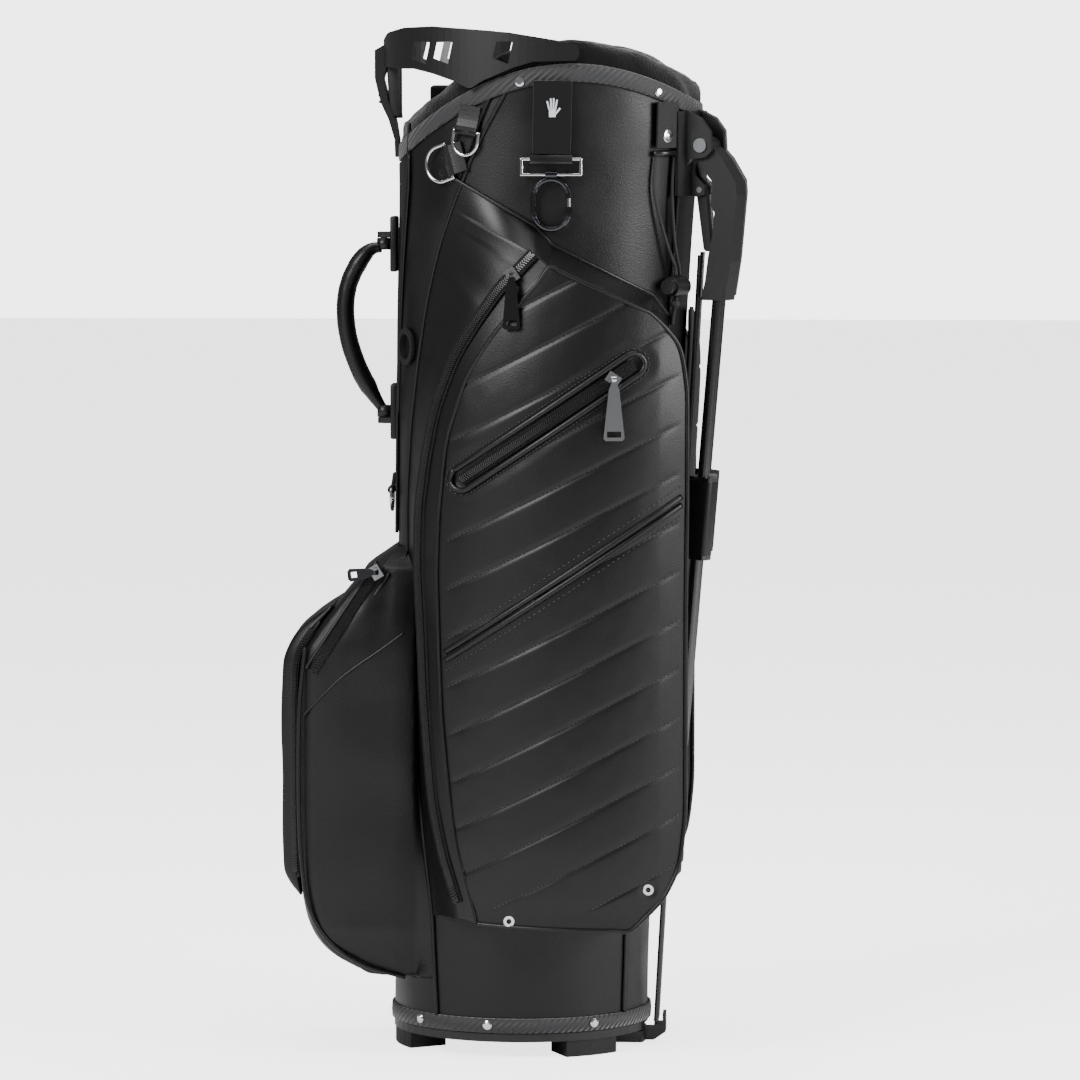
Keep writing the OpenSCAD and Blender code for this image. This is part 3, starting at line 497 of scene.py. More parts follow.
# Piping round the pocket: one bead between gusset and face beside the zip, one
# round the far edge of the face, and one where the gusset meets the tube.
edge_s = [i / 40 for i in range(41)]
face_edge = [pocket_at(2, 0, s) + Vector((0, -0.0006, 0)) for s in edge_s]
leg_edge = [pocket_at(2, 1, s) + Vector((0, -0.0004, 0)) for s in edge_s]
top_edge = [pocket_at(2, k / 10, 1) + Vector((0, -0.0004, 0.0004)) for k in range(1, 10)]
foot_edge = [pocket_at(2, k / 10, 0) + Vector((0, -0.0004, 0)) for k in range(9, 0, -1)]
loop = face_edge + top_edge + leg_edge[::-1] + foot_edge + [face_edge[0]]
gusset_edge = [pocket_row_point(t / 10, 1.98) + Vector((0, -0.0008, 0)) for t in range(0, 41)]
for side, word, points in ((-1, "near", loop), (1, "far", mirrored(loop))):
    run(points, 0.0019, f"{word}_face_piping", leather)
    run(gusset_edge if side < 0 else mirrored(gusset_edge), 0.0019, f"{word}_gusset_piping", leather)

# Stitches: bonded black thread in lock stitch, 3.2 mm long and 4.5 mm from one
# to the next, in one row along each quilting line.
thread = surface("bonded_nylon_thread", "#2b2b2e", 0.38, Specular_IOR_Level=0.6)


def stitches(name, lines, length=0.0032, pitch=0.0045, radius=0.00042, body="bag"):
    """Short rounded bars laid end to end along lines of points, all in one mesh."""
    bm = bmesh.new()
    for line in lines:
        pts = smooth_line(line, pitch)
        for a, b in zip(pts, pts[1:]):
            d = b - a
            if d.length < pitch * 0.5:
                continue
            turn = d.to_track_quat("Z", "Y").to_matrix().to_4x4()
            at = Matrix.Translation((a + b) / 2) @ turn @ Matrix.Diagonal((1, 1, length / 2 / radius, 1))
            bmesh.ops.create_icosphere(bm, subdivisions=1, radius=radius, matrix=at)
    return piece(name, bm, thread, body)


def quilt_line(row):
    """The stitched stretches of one quilting row, broken where the welted pocket is."""
    points = []
    for k in range(60):
        x = mix(-0.056, 0.142, k / 59)
        z = row * ROW + RISE * (x - 0.045)
        left = curved(z, FACE_LEFT) + 0.004
        if z < quilted_from or z > 0.66 or x < left or welt_distance(x, z)[0] < 0.015:
            if len(points) > 4:
                yield points
            points = []
            continue
        if z > mix(0.680, 0.640, (x - 0.035) / 0.08) - 0.006:
            break
        points.append(on_face(x, z, quilt_lift(x, z) + 0.0002))
    if len(points) > 4:
        yield points


lines = [line for row in range(3, 17) for line in quilt_line(row)]
stitches("quilt_stitches", lines)


# Zips: a woven tape, 8 to 11 mm wide, with two rows of moulded coil teeth, sewn
# into the pocket edges. Real coils have a pitch of 1.5 mm; these have 2 mm.
coil = surface("nylon_coil", "#161617", 0.34, Specular_IOR_Level=0.55)
tape = surface("zip_tape", "#131314", 0.8)


def zip_run(name, points, out, body="bag", width=0.011, lift=0.0026):
    """The tape as a thin band and its teeth as small slanted bars, along points facing out."""
    pts = smooth_line(points, 0.002)
    out = Vector(out).normalized()
    bm = bmesh.new()
    left, right = [], []
    for i, p in enumerate(pts):
        d = (pts[min(i + 1, len(pts) - 1)] - pts[max(i - 1, 0)]).normalized()
        across = d.cross(out).normalized() * (width / 2)
        up = across.cross(d).normalized()
        up = up if up.dot(out) > 0 else -up
        left.append(bm.verts.new(p - across + up * lift))
        right.append(bm.verts.new(p + across + up * lift))
    for i in range(len(pts) - 1):
        bm.faces.new((left[i], right[i], right[i + 1], left[i + 1]))
    bmesh.ops.solidify(bm, geom=bm.faces, thickness=-0.0008)
    bmesh.ops.recalc_face_normals(bm, faces=bm.faces)
    piece(name + "_tape", bm, tape, body, smooth=False)
    teeth = bmesh.new()
    for i, p in enumerate(pts[1:-1], 1):
        d = (pts[i + 1] - pts[i - 1]).normalized()
        across = d.cross(out).normalized()
        up = across.cross(d).normalized()
        up = up if up.dot(out) > 0 else -up
        for side in (-1, 1):
            spot = p + across * 0.0014 * side + up * (lift + 0.0007) + d * 0.0005 * side
            frame_m = Matrix((across, d, up)).transposed().to_4x4()
            at = Matrix.Translation(spot) @ frame_m @ Matrix.Rotation(0.35 * side, 4,
                "Z") @ Matrix.Diagonal((0.0030, 0.0010, 0.0011, 1))
            bmesh.ops.create_cube(teeth, size=1, matrix=at)
    return piece(name + "_teeth", teeth, coil, body, smooth=False)


zip_points = [pocket_at(1, 0, i / 40) for i in range(1, 41)]
near_teeth = zip_run("near_zip", zip_points, (-0.5, -0.86, 0))
zip_run("far_zip", mirrored(zip_points), (-0.5, 0.86, 0))
welt_points = [on_face(mix(WELT_LOW[0], WELT_HIGH[0], k / 16), mix(WELT_LOW[1], WELT_HIGH[1], k / 16), 0.0)
    for k in range(17)]
zip_run("welt_zip", welt_points, (0, -1, 0), lift=0.0014)
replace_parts(near_teeth, "zip_chains")


# The welted pocket: a slanted slot in the quilting framed by a rolled edge of
# leather, a long loop with round ends, with a row of stitches outside it.
def around_welt(grow, out, count=26):
    """A long loop round the slot's middle line, grown outwards from it."""
    a, b = Vector(WELT_LOW), Vector(WELT_HIGH)
    d = (b - a).normalized()
    n = Vector((-d.y, d.x))
    loop = [a + (b - a) * (k / count) + n * grow for k in range(count + 1)]
    loop += [b + n * grow * math.cos(q) + d * grow * math.sin(q)
        for q in [math.pi * k / 8 for k in range(1, 8)]]
    loop += [b - (b - a) * (k / count) - n * grow for k in range(count + 1)]
    loop += [a - n * grow * math.cos(q) - d * grow * math.sin(q)
        for q in [math.pi * k / 8 for k in range(1, 8)]]
    loop.append(loop[0])
    return [on_face(q.x, q.y, out) for q in loop]


run(around_welt(0.0095, 0.0018), 0.0026, "welt_frame", leather)
stitches("welt_stitches", [around_welt(0.0135, 0.0012)])


# The hidden pocket: two long narrow welts of folded leather laid edge to edge
# across the face, sewn down on both sides, with the shut zip between them.
def slanted(low, high, offset, out, count=24):
    """A straight slanted line laid on the quilted face, shifted up by offset."""
    points = []
    for k in range(count + 1):
        x, z = mix(low[0], high[0], k / count), mix(low[1], high[1], k / count) + offset
        points.append(on_face(x, z, out + max(0.0, quilt_lift(x, z))))
    return points


hidden_from, hidden_to = (-0.057, 0.349), (0.143, 0.482)
run(slanted(hidden_from, hidden_to, 0.0035, 0.0), 0.0028, "hidden_welt_high", leather)
run(slanted(hidden_from, hidden_to, -0.0035, 0.0), 0.0028, "hidden_welt_low", leather)
stitches("hidden_welt_stitches", [slanted(hidden_from, hidden_to, s, 0.0006) for s in (0.0125, -0.0125)])

# Rim binding: black polyester webbing folded over the rim's raw edge and sewn
# through. Its diagonal rib, 2.2 mm from one to the next, catches the light.
webbing = surface("polyester_webbing", "#1a1a1c", 0.62, Sheen_Weight=0.25)
t = webbing.node_tree
uv = node(t, "UVMap", uv_map="weave").outputs["UV"]
turn = node(t, "Mapping", {"Vector": uv, "Rotation": (0, 0, 0.9)})
ribs = node(t, "TexWave",
    {"Vector": turn.outputs["Vector"], "Scale": 1 / 0.0022 / 6.283, "Distortion": 0.6, "Detail": 1.0})
bump(webbing, ribs.outputs["Fac"], 0.0006, 1.0)


def weave_uv(bm):
    """A UV map in metres from each face's own place, along and up the band."""
    layer = bm.loops.layers.uv.new("weave")
    for f in bm.faces:
        for loop in f.loops:
            p = loop.vert.co
            loop[layer].uv = (math.atan2(p.y, p.x - 0.02) * 0.125, p.z)


def rim_band(name, section, material, cad, steps=180, shake=0.0, seed=3):
    """A closed band round the rim from a section of (outward, up) places."""
    bm = bmesh.new()
    rings = []
    for k in range(steps):
        turn_deg = 360 * k / steps
        x0 = skin(turn_deg, 0.84).x
        h = rim_z(x0)
        p = skin(turn_deg, h)
        side = facing(turn_deg, h)
        ring = []
        for i, (out, up) in enumerate(section):
            lump = shake * noise.noise(Vector((p.x * 38 + i * 0.33, p.y * 38, seed + i * 0.4)))
            ring.append(bm.verts.new(p
                + Vector((math.cos(side) * (out + lump), math.sin(side) * (out + lump), up + lump * 0.7))))
        rings.append(ring)
    for a, b in zip(rings, rings[1:] + rings[:1]):
        for i in range(len(section)):
            j = (i + 1) % len(section)
            bm.faces.new((a[i], b[i], b[j], a[j]))
    bmesh.ops.recalc_face_normals(bm, faces=bm.faces)
    weave_uv(bm)
    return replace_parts(piece(name, bm, material), cad)


binding = [(0.0006, -0.0135), (0.0022, -0.0138), (0.0028, -0.012), (0.0030, -0.006), (0.0026, 0.0),
    (0.0012, 0.0016), (-0.0005, 0.0012), (-0.0005, -0.002)]
rim_band("rim_binding", binding, webbing, "rim_webbing")

# Collar: a fat roll of foam covered in black velvet, sewn inside the rim so
# that clubs don't knock. The pile is short and dull with a faint blue bloom.
velvet = surface("nylon_velvet", "#08080a", 0.95, Sheen_Weight=0.35, Sheen_Roughness=0.4,
    Specular_IOR_Level=0.15)
t = velvet.node_tree
place = node(t, "TexCoord").outputs["Object"]
pile = node(t, "TexNoise", {"Vector": place, "Scale": 1 / 0.0012, "Detail": 2.0})
nap = node(t, "TexNoise", {"Vector": place, "Scale": 1 / 0.018, "Detail": 3.0})
both = node(t, "Math", {0: pile.outputs["Fac"], 1: nap.outputs["Fac"]}, operation="ADD")
bump(velvet, both.outputs["Value"], 0.0012, 0.8)
roll = []
for k in range(20):
    q = 2 * math.pi * k / 20
    roll.append((-0.0100 + 0.0105 * math.cos(q), 0.0035 + 0.0175 * math.sin(q)))
collar = rim_band("velvet_collar", roll, velvet, "rim_collar", shake=0.0028)

# Dividers: foam bars covered in the same velvet, one long and two across, that
# part the mouth into six wells, with a cloth hung below each bar to the base.
def rounded_box(low, high, radius, segments=3):
    """A box between two corners with all its edges rounded."""
    bm = bmesh.new()
    bmesh.ops.create_cube(bm, size=1)
    size = Vector(high) - Vector(low)
    bmesh.ops.scale(bm, verts=bm.verts, vec=size)
    bmesh.ops.translate(bm, verts=bm.verts, vec=(Vector(high) + Vector(low)) / 2)
    bmesh.ops.bevel(bm, geom=bm.edges[:], offset=radius, segments=segments, profile=0.5, affect="EDGES",
        material=-1)
    return bm


BAR_PLACES = (-0.015, 0.070)  # where the cross bars stand along X
bars = rounded_box((-0.078, -0.004, 0.800), (0.130, 0.004, 0.832), 0.0035)
for x in BAR_PLACES:
    reach = skin_depth(x, 0.79) - 0.023
    for side in (-1, 1):
        other = rounded_box((x - 0.004, min(side * 0.004, side * reach), rim_z(x) - 0.048),
            (x + 0.004, max(side * 0.004, side * reach), rim_z(x) - 0.018), 0.0035)
        mesh = bpy.data.meshes.new("bar")
        other.to_mesh(mesh)
        other.free()
        bars.from_mesh(mesh)
        bpy.data.meshes.remove(mesh)
top_bars = piece("divider_bars", bars, velvet)
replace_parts(top_bars, "divider_top")
lining = surface("polyester_lining", "#141416", 0.85)


def hung_cloth(name, edges, top, place):
    """A lining cloth from near the base to the foot of its bar, hanging with slight folds.
    edges gives its two sides at a height, and place turns a step along it and a sway into a point."""
    foot = 0.062
    rows = 110

    def at(u, v):
        z = mix(foot, top, v)
        near, far = edges(z)
        folds = math.sin(11 * u + 3 * v) * 0.6 + math.sin(23 * u - 5 * v) * 0.4
        return Vector(place(mix(near, far, u), 0.0018 * folds * math.sin(math.pi * v), z))

    cloth = piece(name, laid(24, rows, at), lining)
    thicken(cloth, 0.0008)
    wide = max(abs(far - near) for near, far in (edges(foot), edges(top)))
    mean = sum(abs(far - near) for near,
        far in (edges(foot + (top - foot) * k / 20) for k in range(21))) / 21
    return cloth


def end_gap(z):
    return mix(0.008, 0.016, (z - 0.062) / 0.66)


long_cloth = hung_cloth(
    "long_divider_cloth",
    lambda z: (mid_x(z) - half_x(z) + end_gap(z), mid_x(z) + half_x(z) - end_gap(z)),
    0.802, lambda along, sway, z: (along, sway, z),
)
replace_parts(long_cloth, "divider_long")
cross_cloths = []
for number, x in enumerate(BAR_PLACES):
    for side, word in ((-1, "near"), (1, "far")):
        cross_cloths.append(hung_cloth(
            f"{word}_cross_cloth_{number + 1}",
            lambda z: (0.003, skin_depth(x, z) - end_gap(z)),
            rim_z(x) - 0.046, lambda along, sway, z: (x + sway, side * along, z),
        ))
for cloth in cross_cloths:
    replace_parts(cloth, "divider_cross")

# Base hem: the same webbing bound round the foot of the shell, where it is
# riveted to the moulded base.
hem = bmesh.new()
rings = []
for k in range(144):
    turn_deg = 360 * k / 144
    rings.append([hem.verts.new(skin(turn_deg, z, out)) for out,
        z in ((0.0008, 0.022), (0.0026, 0.022), (0.0030, 0.028), (0.0026, 0.034), (0.0006, 0.0345))])
for a, b in zip(rings, rings[1:] + rings[:1]):
    for i in range(4):
        hem.faces.new((a[i], b[i], b[i + 1], a[i + 1]))
bmesh.ops.recalc_face_normals(hem, faces=hem.faces)
weave_uv(hem)
hem_piece = thicken(piece("base_hem", hem, webbing), 0.0005)
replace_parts(hem_piece, "hem_webbing")

# The ball pocket: a deep box pocket of the same leather on the front, with
# rounded corners, piping round its side walls and a zip over its shoulder.
BALL_FRONT = [
    (0.062, -0.118), (0.073, -0.148), (0.088, -0.168), (0.110, -0.181), (0.140, -0.187), (0.210, -0.189),
    (0.300, -0.189),
    (0.345, -0.187), (0.370, -0.170), (0.395, -0.150), (0.425, -0.125),
]
BALL_HEIGHTS = [0.066, 0.074, 0.090, 0.114, 0.150, 0.220, 0.290, 0.345, 0.370, 0.395, 0.418]


def ball_width(z):
    """Half the ball pocket's width at a height."""
    return 0.076 - 0.010 * ease((0.110 - z) / 0.050) - 0.008 * ease((z - 0.340) / 0.090)


def ball_corner(u, z):
    """Round the pocket from the near seam to the far one at a height: u runs 0 to 1."""
    x, half = curved(z, BALL_FRONT), ball_width(z)
    seam = skin(lookup(z, FRONT_SEAM), z, 0.0008)
    side = [(seam.x, seam.y), (-0.086, half - 0.004), (-0.104, half - 0.001), (mix(-0.104, x, 0.55), half),
        (x + 0.014, half - 0.001),
            (x + 0.005, half - 0.005), (x + 0.001, half - 0.014), (x, half - 0.030), (x - 0.001, 0)]
    loop = [Vector((a, b, z)) for a, b in side] + [Vector((a, -b, z)) for a, b in side[-2::-1]]
    lengths = [0.0]
    for a, b in zip(loop, loop[1:]):
        lengths.append(lengths[-1] + (b - a).length)
    at = u * lengths[-1]
    for i in range(len(loop) - 1):
        if at <= lengths[i + 1] + 1e-9:
            return loop[i].lerp(loop[i + 1], (at - lengths[i]) / (lengths[i + 1] - lengths[i]))
    return loop[-1]


def ball_place(u, v):
    """A place on the ball pocket, with its walls bulged and its ends turned back to the tube."""
    low, high = -0.05, 1.05
    s = mix(low, high, v)
    z = mix(0.066, 0.418, max(0.0, min(1.0, s)))
    p = ball_corner(u, z)
    if 0 <= s <= 1:
        full = ease(min(s, 1 - s) / 0.12)
        bulge = math.sin(math.pi * min(1, max(0, (u - 0.02) / 0.34))) if u < 0.36 else (
            math.sin(math.pi * min(1, (1 - u - 0.02) / 0.34)) if u > 0.64 else 0)
        way = 1 if p.y > 0 else -1
        p.y += way * 0.0035 * bulge * full
        crumple = 0.0016 * noise.noise(Vector((p.x * 26, p.y * 8,
            p.z * 16))) + 0.0022 * noise.noise(Vector((p.x * 46, 7, p.z * 30))) * ease((z - 0.33) / 0.06)
        return p + Vector((-0.5 if abs(p.y) < 0.06 else 0, way * 0.8, 0)) * crumple
    edge = ball_corner(u, z)
    turn_deg = mix(lookup(z, FRONT_SEAM), 360 - lookup(z, FRONT_SEAM), u)
    zz = 0.064 if s < 0 else 0.436
    return edge.lerp(skin(turn_deg, zz, 0.0008), min(1, (abs(s if s < 0 else s - 1)) / 0.05))


bm = laid(140, 170, ball_place)
ball_obj = thicken(piece("ball_pocket_shell", bm, leather), 0.003)
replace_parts(ball_obj, "ball_pocket")

# Its front sub-pocket: a shallow padded lid sewn on the pocket's front, with a
# zip round its side that reads as a dark band along the front corner.
def lid_place(u, v):
    z = mix(0.134, 0.386, v)
    w = 2 * u - 1
    base = curved(z, BALL_FRONT)
    rise = ease(min(v, 1 - v) / 0.10) ** 0.5 * ease((1 - abs(w)) / 0.12) ** 0.5
    out = 0.0022 + rise * (0.012 + 0.002 * math.cos(w * 1.5))
    lump = 0.0009 * noise.noise(Vector((w * 4, z * 24, 1)))
    return Vector((base - out - lump, -w * 0.060, z))


bm = laid(60, 90, lid_place)
lid = thicken(piece("ball_pocket_lid", bm, leather), 0.0026)
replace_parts(lid, "ball_front")


def ball_side_line(places, out):
    """Places (x, z) laid on the near wall of the ball pocket."""
    points = []
    for x, z in places:
        front = curved(z, BALL_FRONT)
        y = ball_width(z) + 0.0035 * math.sin(math.pi * max(0, min(1, (x - front) / (-0.1 - front)))) * 0.9
        points.append(Vector((x, -(y + out), z)))
    return points


side_edge = [(-0.181, 0.351), (-0.186, 0.299), (-0.187, 0.230), (-0.185, 0.169), (-0.178, 0.125),
    (-0.160, 0.095), (-0.131, 0.075), (-0.096, 0.064)]
welt_seam = [(-0.183, 0.292), (-0.150, 0.325), (-0.115, 0.350), (-0.096, 0.364)]
for side, word in ((-1, "near"), (1, "far")):
    flip = (lambda pts: pts) if side < 0 else mirrored
    run(flip(ball_side_line(side_edge, 0.0002)), 0.0017, f"{word}_ball_piping", leather)
    run(flip(ball_side_line(welt_seam, 0.0004)), 0.0011, f"{word}_ball_welt", leather)
    run(flip([Vector((curved(z, BALL_FRONT) - 0.001, -0.0615, z))
        for z in [mix(0.150, 0.372, k / 12) for k in range(13)]]), 0.0014, f"{word}_lid_piping", leather)
    zip_run(f"{word}_lid_zip",
        flip([Vector((curved(z, BALL_FRONT) - 0.0012, -0.0665, z))
        for z in [mix(0.155, 0.365, k / 12) for k in range(13)]]), (-0.7, 0.7 * side, 0), width=0.008,
        lift=0.002)
zip_run("ball_zip", [Vector((mix(-0.116, -0.174, k / 10), -(ball_width(mix(0.422, 0.330, k / 10)) + 0.0016),
    mix(0.422, 0.330, k / 10))) for k in range(11)], (0, -1, 0), width=0.009, lift=0.0018)

for grow, word in ((0.0075, "high"), (-0.0075, "low")):
    run([Vector((mix(-0.114, -0.175, k / 10) - grow * 0.7,
        -(ball_width(mix(0.420, 0.328, k / 10)) + 0.0010), mix(0.420, 0.328, k / 10) + grow * 0.7))
        for k in range(11)], 0.0017, f"ball_zip_piping_{word}", leather)


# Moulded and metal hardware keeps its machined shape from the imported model: a
# fine bevel rounds each edge as a mould or a deburring wheel would.
satin = surface("satin_nylon", "#0f0f10", 0.36, Specular_IOR_Level=0.5)
# Glass-filled nylon with a fine spark-eroded texture, drawn at 0.6 mm.
t = satin.node_tree
place = node(t, "TexCoord").outputs["Object"]
spark = node(t, "TexNoise", {"Vector": place, "Scale": 1 / 0.0006, "Detail": 2.0})
bump(satin, spark.outputs["Fac"], 0.00006, 0.5)
chrome = surface("polished_zinc_chrome", "#d9dadc", 0.13, Metallic=1.0)
dark_chrome = surface("black_nickel", "#4a4a4e", 0.18, Metallic=1.0)
rubber = surface("moulded_rubber", "#0c0c0c", 0.62, Specular_IOR_Level=0.4)
gloss_tube = surface("black_anodised_aluminium", "#0d0d0f", 0.20, Specular_IOR_Level=0.7, Coat_Weight=0.35,
    Coat_Roughness=0.12)
black_steel = surface("black_coated_steel", "#131315", 0.3, Specular_IOR_Level=0.6)
steel = surface("bright_steel", "#a5a7aa", 0.28, Metallic=1.0)


def finish_cad(names, material, width=0.0, segments=2, angle=35):
    """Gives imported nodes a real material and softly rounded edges."""
    for cad in names.split():
        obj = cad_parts[cad]
        obj.data.materials.clear()
        obj.data.materials.append(material)
        if width:
            soft = obj.modifiers.new("edges", "BEVEL")
            soft.width, soft.segments, soft.limit_method = width, segments, "ANGLE"
            soft.angle_limit = math.radians(angle)


finish_cad("cuff_ring base_tray kick_lever leg_bracket shroud_near shroud_far", satin, 0.0009)
finish_cad("top_handle", satin, 0.0012, 3)
finish_cad("cord_lock lock_button handle_anchors", satin, 0.0007)
finish_cad("base_feet umbrella_grommet", rubber, 0.001)
finish_cad("rim_rivets base_rivets pocket_eyelets carabiner_gate", chrome, 0.0003)
finish_cad("welt_slider near_slider far_slider ball_slider", chrome, 0.0003)
finish_cad("d_ring_side d_ring_top d_ring_spine strap_ring", chrome)
finish_cad("welt_pull", chrome, 0.0005, 3)
finish_cad("near_pull far_pull ball_pull", dark_chrome, 0.0005, 3)
finish_cad("carabiner", dark_chrome)
finish_cad("pivot_pins", steel, 0.0005)
finish_cad("link_near link_far actuator_rod", black_steel)
finish_cad("leg_near leg_far", gloss_tube)
finish_cad("stays", satin)

# Handle grip: soft ribbed rubber overmoulded on the nose of the top handle,
# with ribs 5.5 mm apart for the palm.
grip = rounded_box((-0.1245, -0.0125, 0.8035), (-0.0985, 0.0125, 0.8640), 0.004, 3)
GRIP_MIDDLE = [(0.8035, -0.1055), (0.8175, -0.1130), (0.838, -0.1135), (0.8640, -0.1085)]
GRIP_HALF = [(0.8035, 0.0040), (0.8175, 0.0072), (0.838, 0.0085), (0.8640, 0.0060)]
for v in grip.verts:
    centre, half = lookup(v.co.z, GRIP_MIDDLE), lookup(v.co.z, GRIP_HALF)
    v.co.x = centre + (v.co.x + 0.1115) / 0.013 * half
grip_piece = piece("handle_grip_rubber", grip, rubber)
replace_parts(grip_piece, "handle_grip")
for k in range(9):
    z = 0.812 + k * 0.0055
    front = lookup(z, GRIP_MIDDLE) - lookup(z, GRIP_HALF)
    proud = [(-0.0118, 0), (-0.006, 0.0007), (0, 0.0009), (0.006, 0.0007), (0.0118, 0)]
    ring = [(front - out, y, z) for y, out in proud]
    run([Vector(p) for p in ring], 0.0013, f"grip_rib_{k + 1}", rubber)

# Carry handle: webbing wrapped round a foam core and sewn into a leather
# sleeve; it swings on a pin at each end, held by a moulded lug.
carry_path = [(-0.1205, 0, 0.692), (-0.130, 0, 0.690), (-0.140, 0, 0.679), (-0.149, 0, 0.660),
    (-0.152, 0, 0.638),
              (-0.149, 0, 0.612), (-0.140, 0, 0.586), (-0.129, 0, 0.566), (-0.1205, 0, 0.553)]
carry_pins = (0.550, 0.695)  # heights of its two pins
line = smooth_line(carry_path, 0.0035)
bm = bmesh.new()
rings = []
for i, p in enumerate(line):
    s = i / (len(line) - 1)
    d = (line[min(i + 1, len(line) - 1)] - line[max(i - 1, 0)]).normalized()
    across, up = Vector((0, 1, 0)), d.cross(Vector((0, 1, 0)))
    full = ease(min(s, 1 - s) / 0.16)
    wide, thick = mix(0.0055, 0.0125, full), mix(0.0045, 0.0078, full)
    ripple = 1 + 0.03 * noise.noise(Vector((s * 26, 1, 2)))
    rings.append([bm.verts.new(p + across * wide * ripple * math.cos(a)
        + up * thick * ripple * math.sin(a)) for a in [2 * math.pi * k / 24 for k in range(24)]])
for a, b in zip(rings, rings[1:]):
    for k in range(24):
        j = (k + 1) % 24
        bm.faces.new((a[k], a[j], b[j], b[k]))
bm.faces.new(rings[0][::-1])
bm.faces.new(rings[-1])
for z in carry_pins:
    bmesh.ops.create_cone(bm, segments=28, radius1=0.0065, radius2=0.0065, depth=0.010, cap_ends=True,
        matrix=Matrix.Translation((-0.118, 0, z)))
bmesh.ops.recalc_face_normals(bm, faces=bm.faces)
carry = piece("carry_handle_sleeve", bm, leather, body="carry")
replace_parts(carry, "carry_handle")
for way, word in ((-1, "near"), (1, "far")):
    edge = []
    for i, p in enumerate(line[10:-10]):
        d = (line[min(i + 11, len(line) - 1)] - line[i + 9]).normalized()
        up = d.cross(Vector((0, 1, 0)))
        up = up if up.x < 0 else -up
        edge.append(p + Vector((0, way * 0.0085, 0)) + up * 0.0062)
    stitches(f"carry_stitches_{word}", [edge], body="carry")


for z in carry_pins:
    patch = rounded_box((-0.1124, -0.0115, z - 0.024), (-0.1060, 0.0115, z + 0.024), 0.0018)
    piece(f"carry_patch_{round(z * 1000)}", patch, leather)


def strap(name, points, width, thick, normal, material=leather, body="bag"):
    """A flat strap swept along points; normal is the way its face looks."""
    pts = smooth_line(points, 0.003)
    normal = Vector(normal).normalized()
    bm = bmesh.new()
    rings = []
    for i, p in enumerate(pts):
        d = (pts[min(i + 1, len(pts) - 1)] - pts[max(i - 1, 0)]).normalized()
        a = d.cross(normal).normalized() * (width / 2)
        u = a.cross(d).normalized() * (thick / 2)
        rings.append([bm.verts.new(p + q)
            for q in (-a - u * 0.4, -a * 0.96 - u, a * 0.96 - u, a - u * 0.4, a + u * 0.4, a * 0.96 + u,
            -a * 0.96 + u, -a + u * 0.4)])
    for a, b in zip(rings, rings[1:]):
        for k in range(8):
            j = (k + 1) % 8
            bm.faces.new((a[k], a[j], b[j], b[k]))
    bm.faces.new(rings[0][::-1])
    bm.faces.new(rings[-1])
    bmesh.ops.recalc_face_normals(bm, faces=bm.faces)
    return piece(name, bm, material, body, smooth=False)


# Glove strap: a tab of hook-and-loop webbing hung from the rim, which holds a
# glove when it is off; it ends in a fold round a wire ring.
glove_turn = -87
loop_face = surface("loop_fabric", "#060607", 0.95, Sheen_Weight=0.2, Specular_IOR_Level=0.2)
tab = strap("glove_tab", [skin(glove_turn, z, 0.0052) for z in (0.836, 0.815, 0.795, 0.7745)], 0.033,
    0.0040, (0.05, -1, 0), loop_face)
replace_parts(tab, "glove_strap")
fold_bm = bmesh.new()
ring_at = skin(glove_turn, 0.770, 0.005)
bmesh.ops.create_cone(fold_bm, segments=24, radius1=0.0034, radius2=0.0034, depth=0.036, cap_ends=True,
                      matrix=Matrix.Translation(ring_at) @ Matrix.Rotation(math.radians(-87.4), 4,
                      "Z") @ Matrix.Rotation(math.pi / 2, 4, "X"))
piece("glove_tab_fold", fold_bm, loop_face)
# The pale glove mark on the tab is a plain printed glove: a palm and fingers.
ink = surface("white_print", "#c9ccd0", 0.6)
mark = bmesh.new()
centre = skin(glove_turn, 0.815, 0.0076)
across = Vector((math.cos(math.radians(2.6)), math.sin(math.radians(2.6)), 0))


def print_bar(x0, z0, x1, z1, half):
    """One printed stroke of the mark, from place to place on the tab's face."""
    a, b = centre + across * x0 + Vector((0, 0, z0)), centre + across * x1 + Vector((0, 0, z1))
    d = b - a
    m = Matrix((d.normalized(), Vector((0.0454, -1, 0)).normalized(),
        d.cross(Vector((0.0454, -1, 0))).normalized())).transposed().to_4x4()
    bmesh.ops.create_cube(mark, size=1,
        matrix=Matrix.Translation((a + b) / 2) @ m @ Matrix.Diagonal((d.length, 0.0003, half * 2, 1)))


print_bar(-0.0028, -0.006, 0.0028, -0.006, 0.0035)
for x0, x1, top in ((-0.0026, -0.0044, 0.0040), (-0.0009, -0.0014, 0.0062), (0.0009, 0.0012, 0.0064),
    (0.0026, 0.0040, 0.0050)):
    print_bar(x0, -0.003, x1, top, 0.0007)
print_bar(0.0026, -0.0070, 0.0066, -0.0020, 0.0008)
piece("glove_mark", mark, ink, smooth=False)

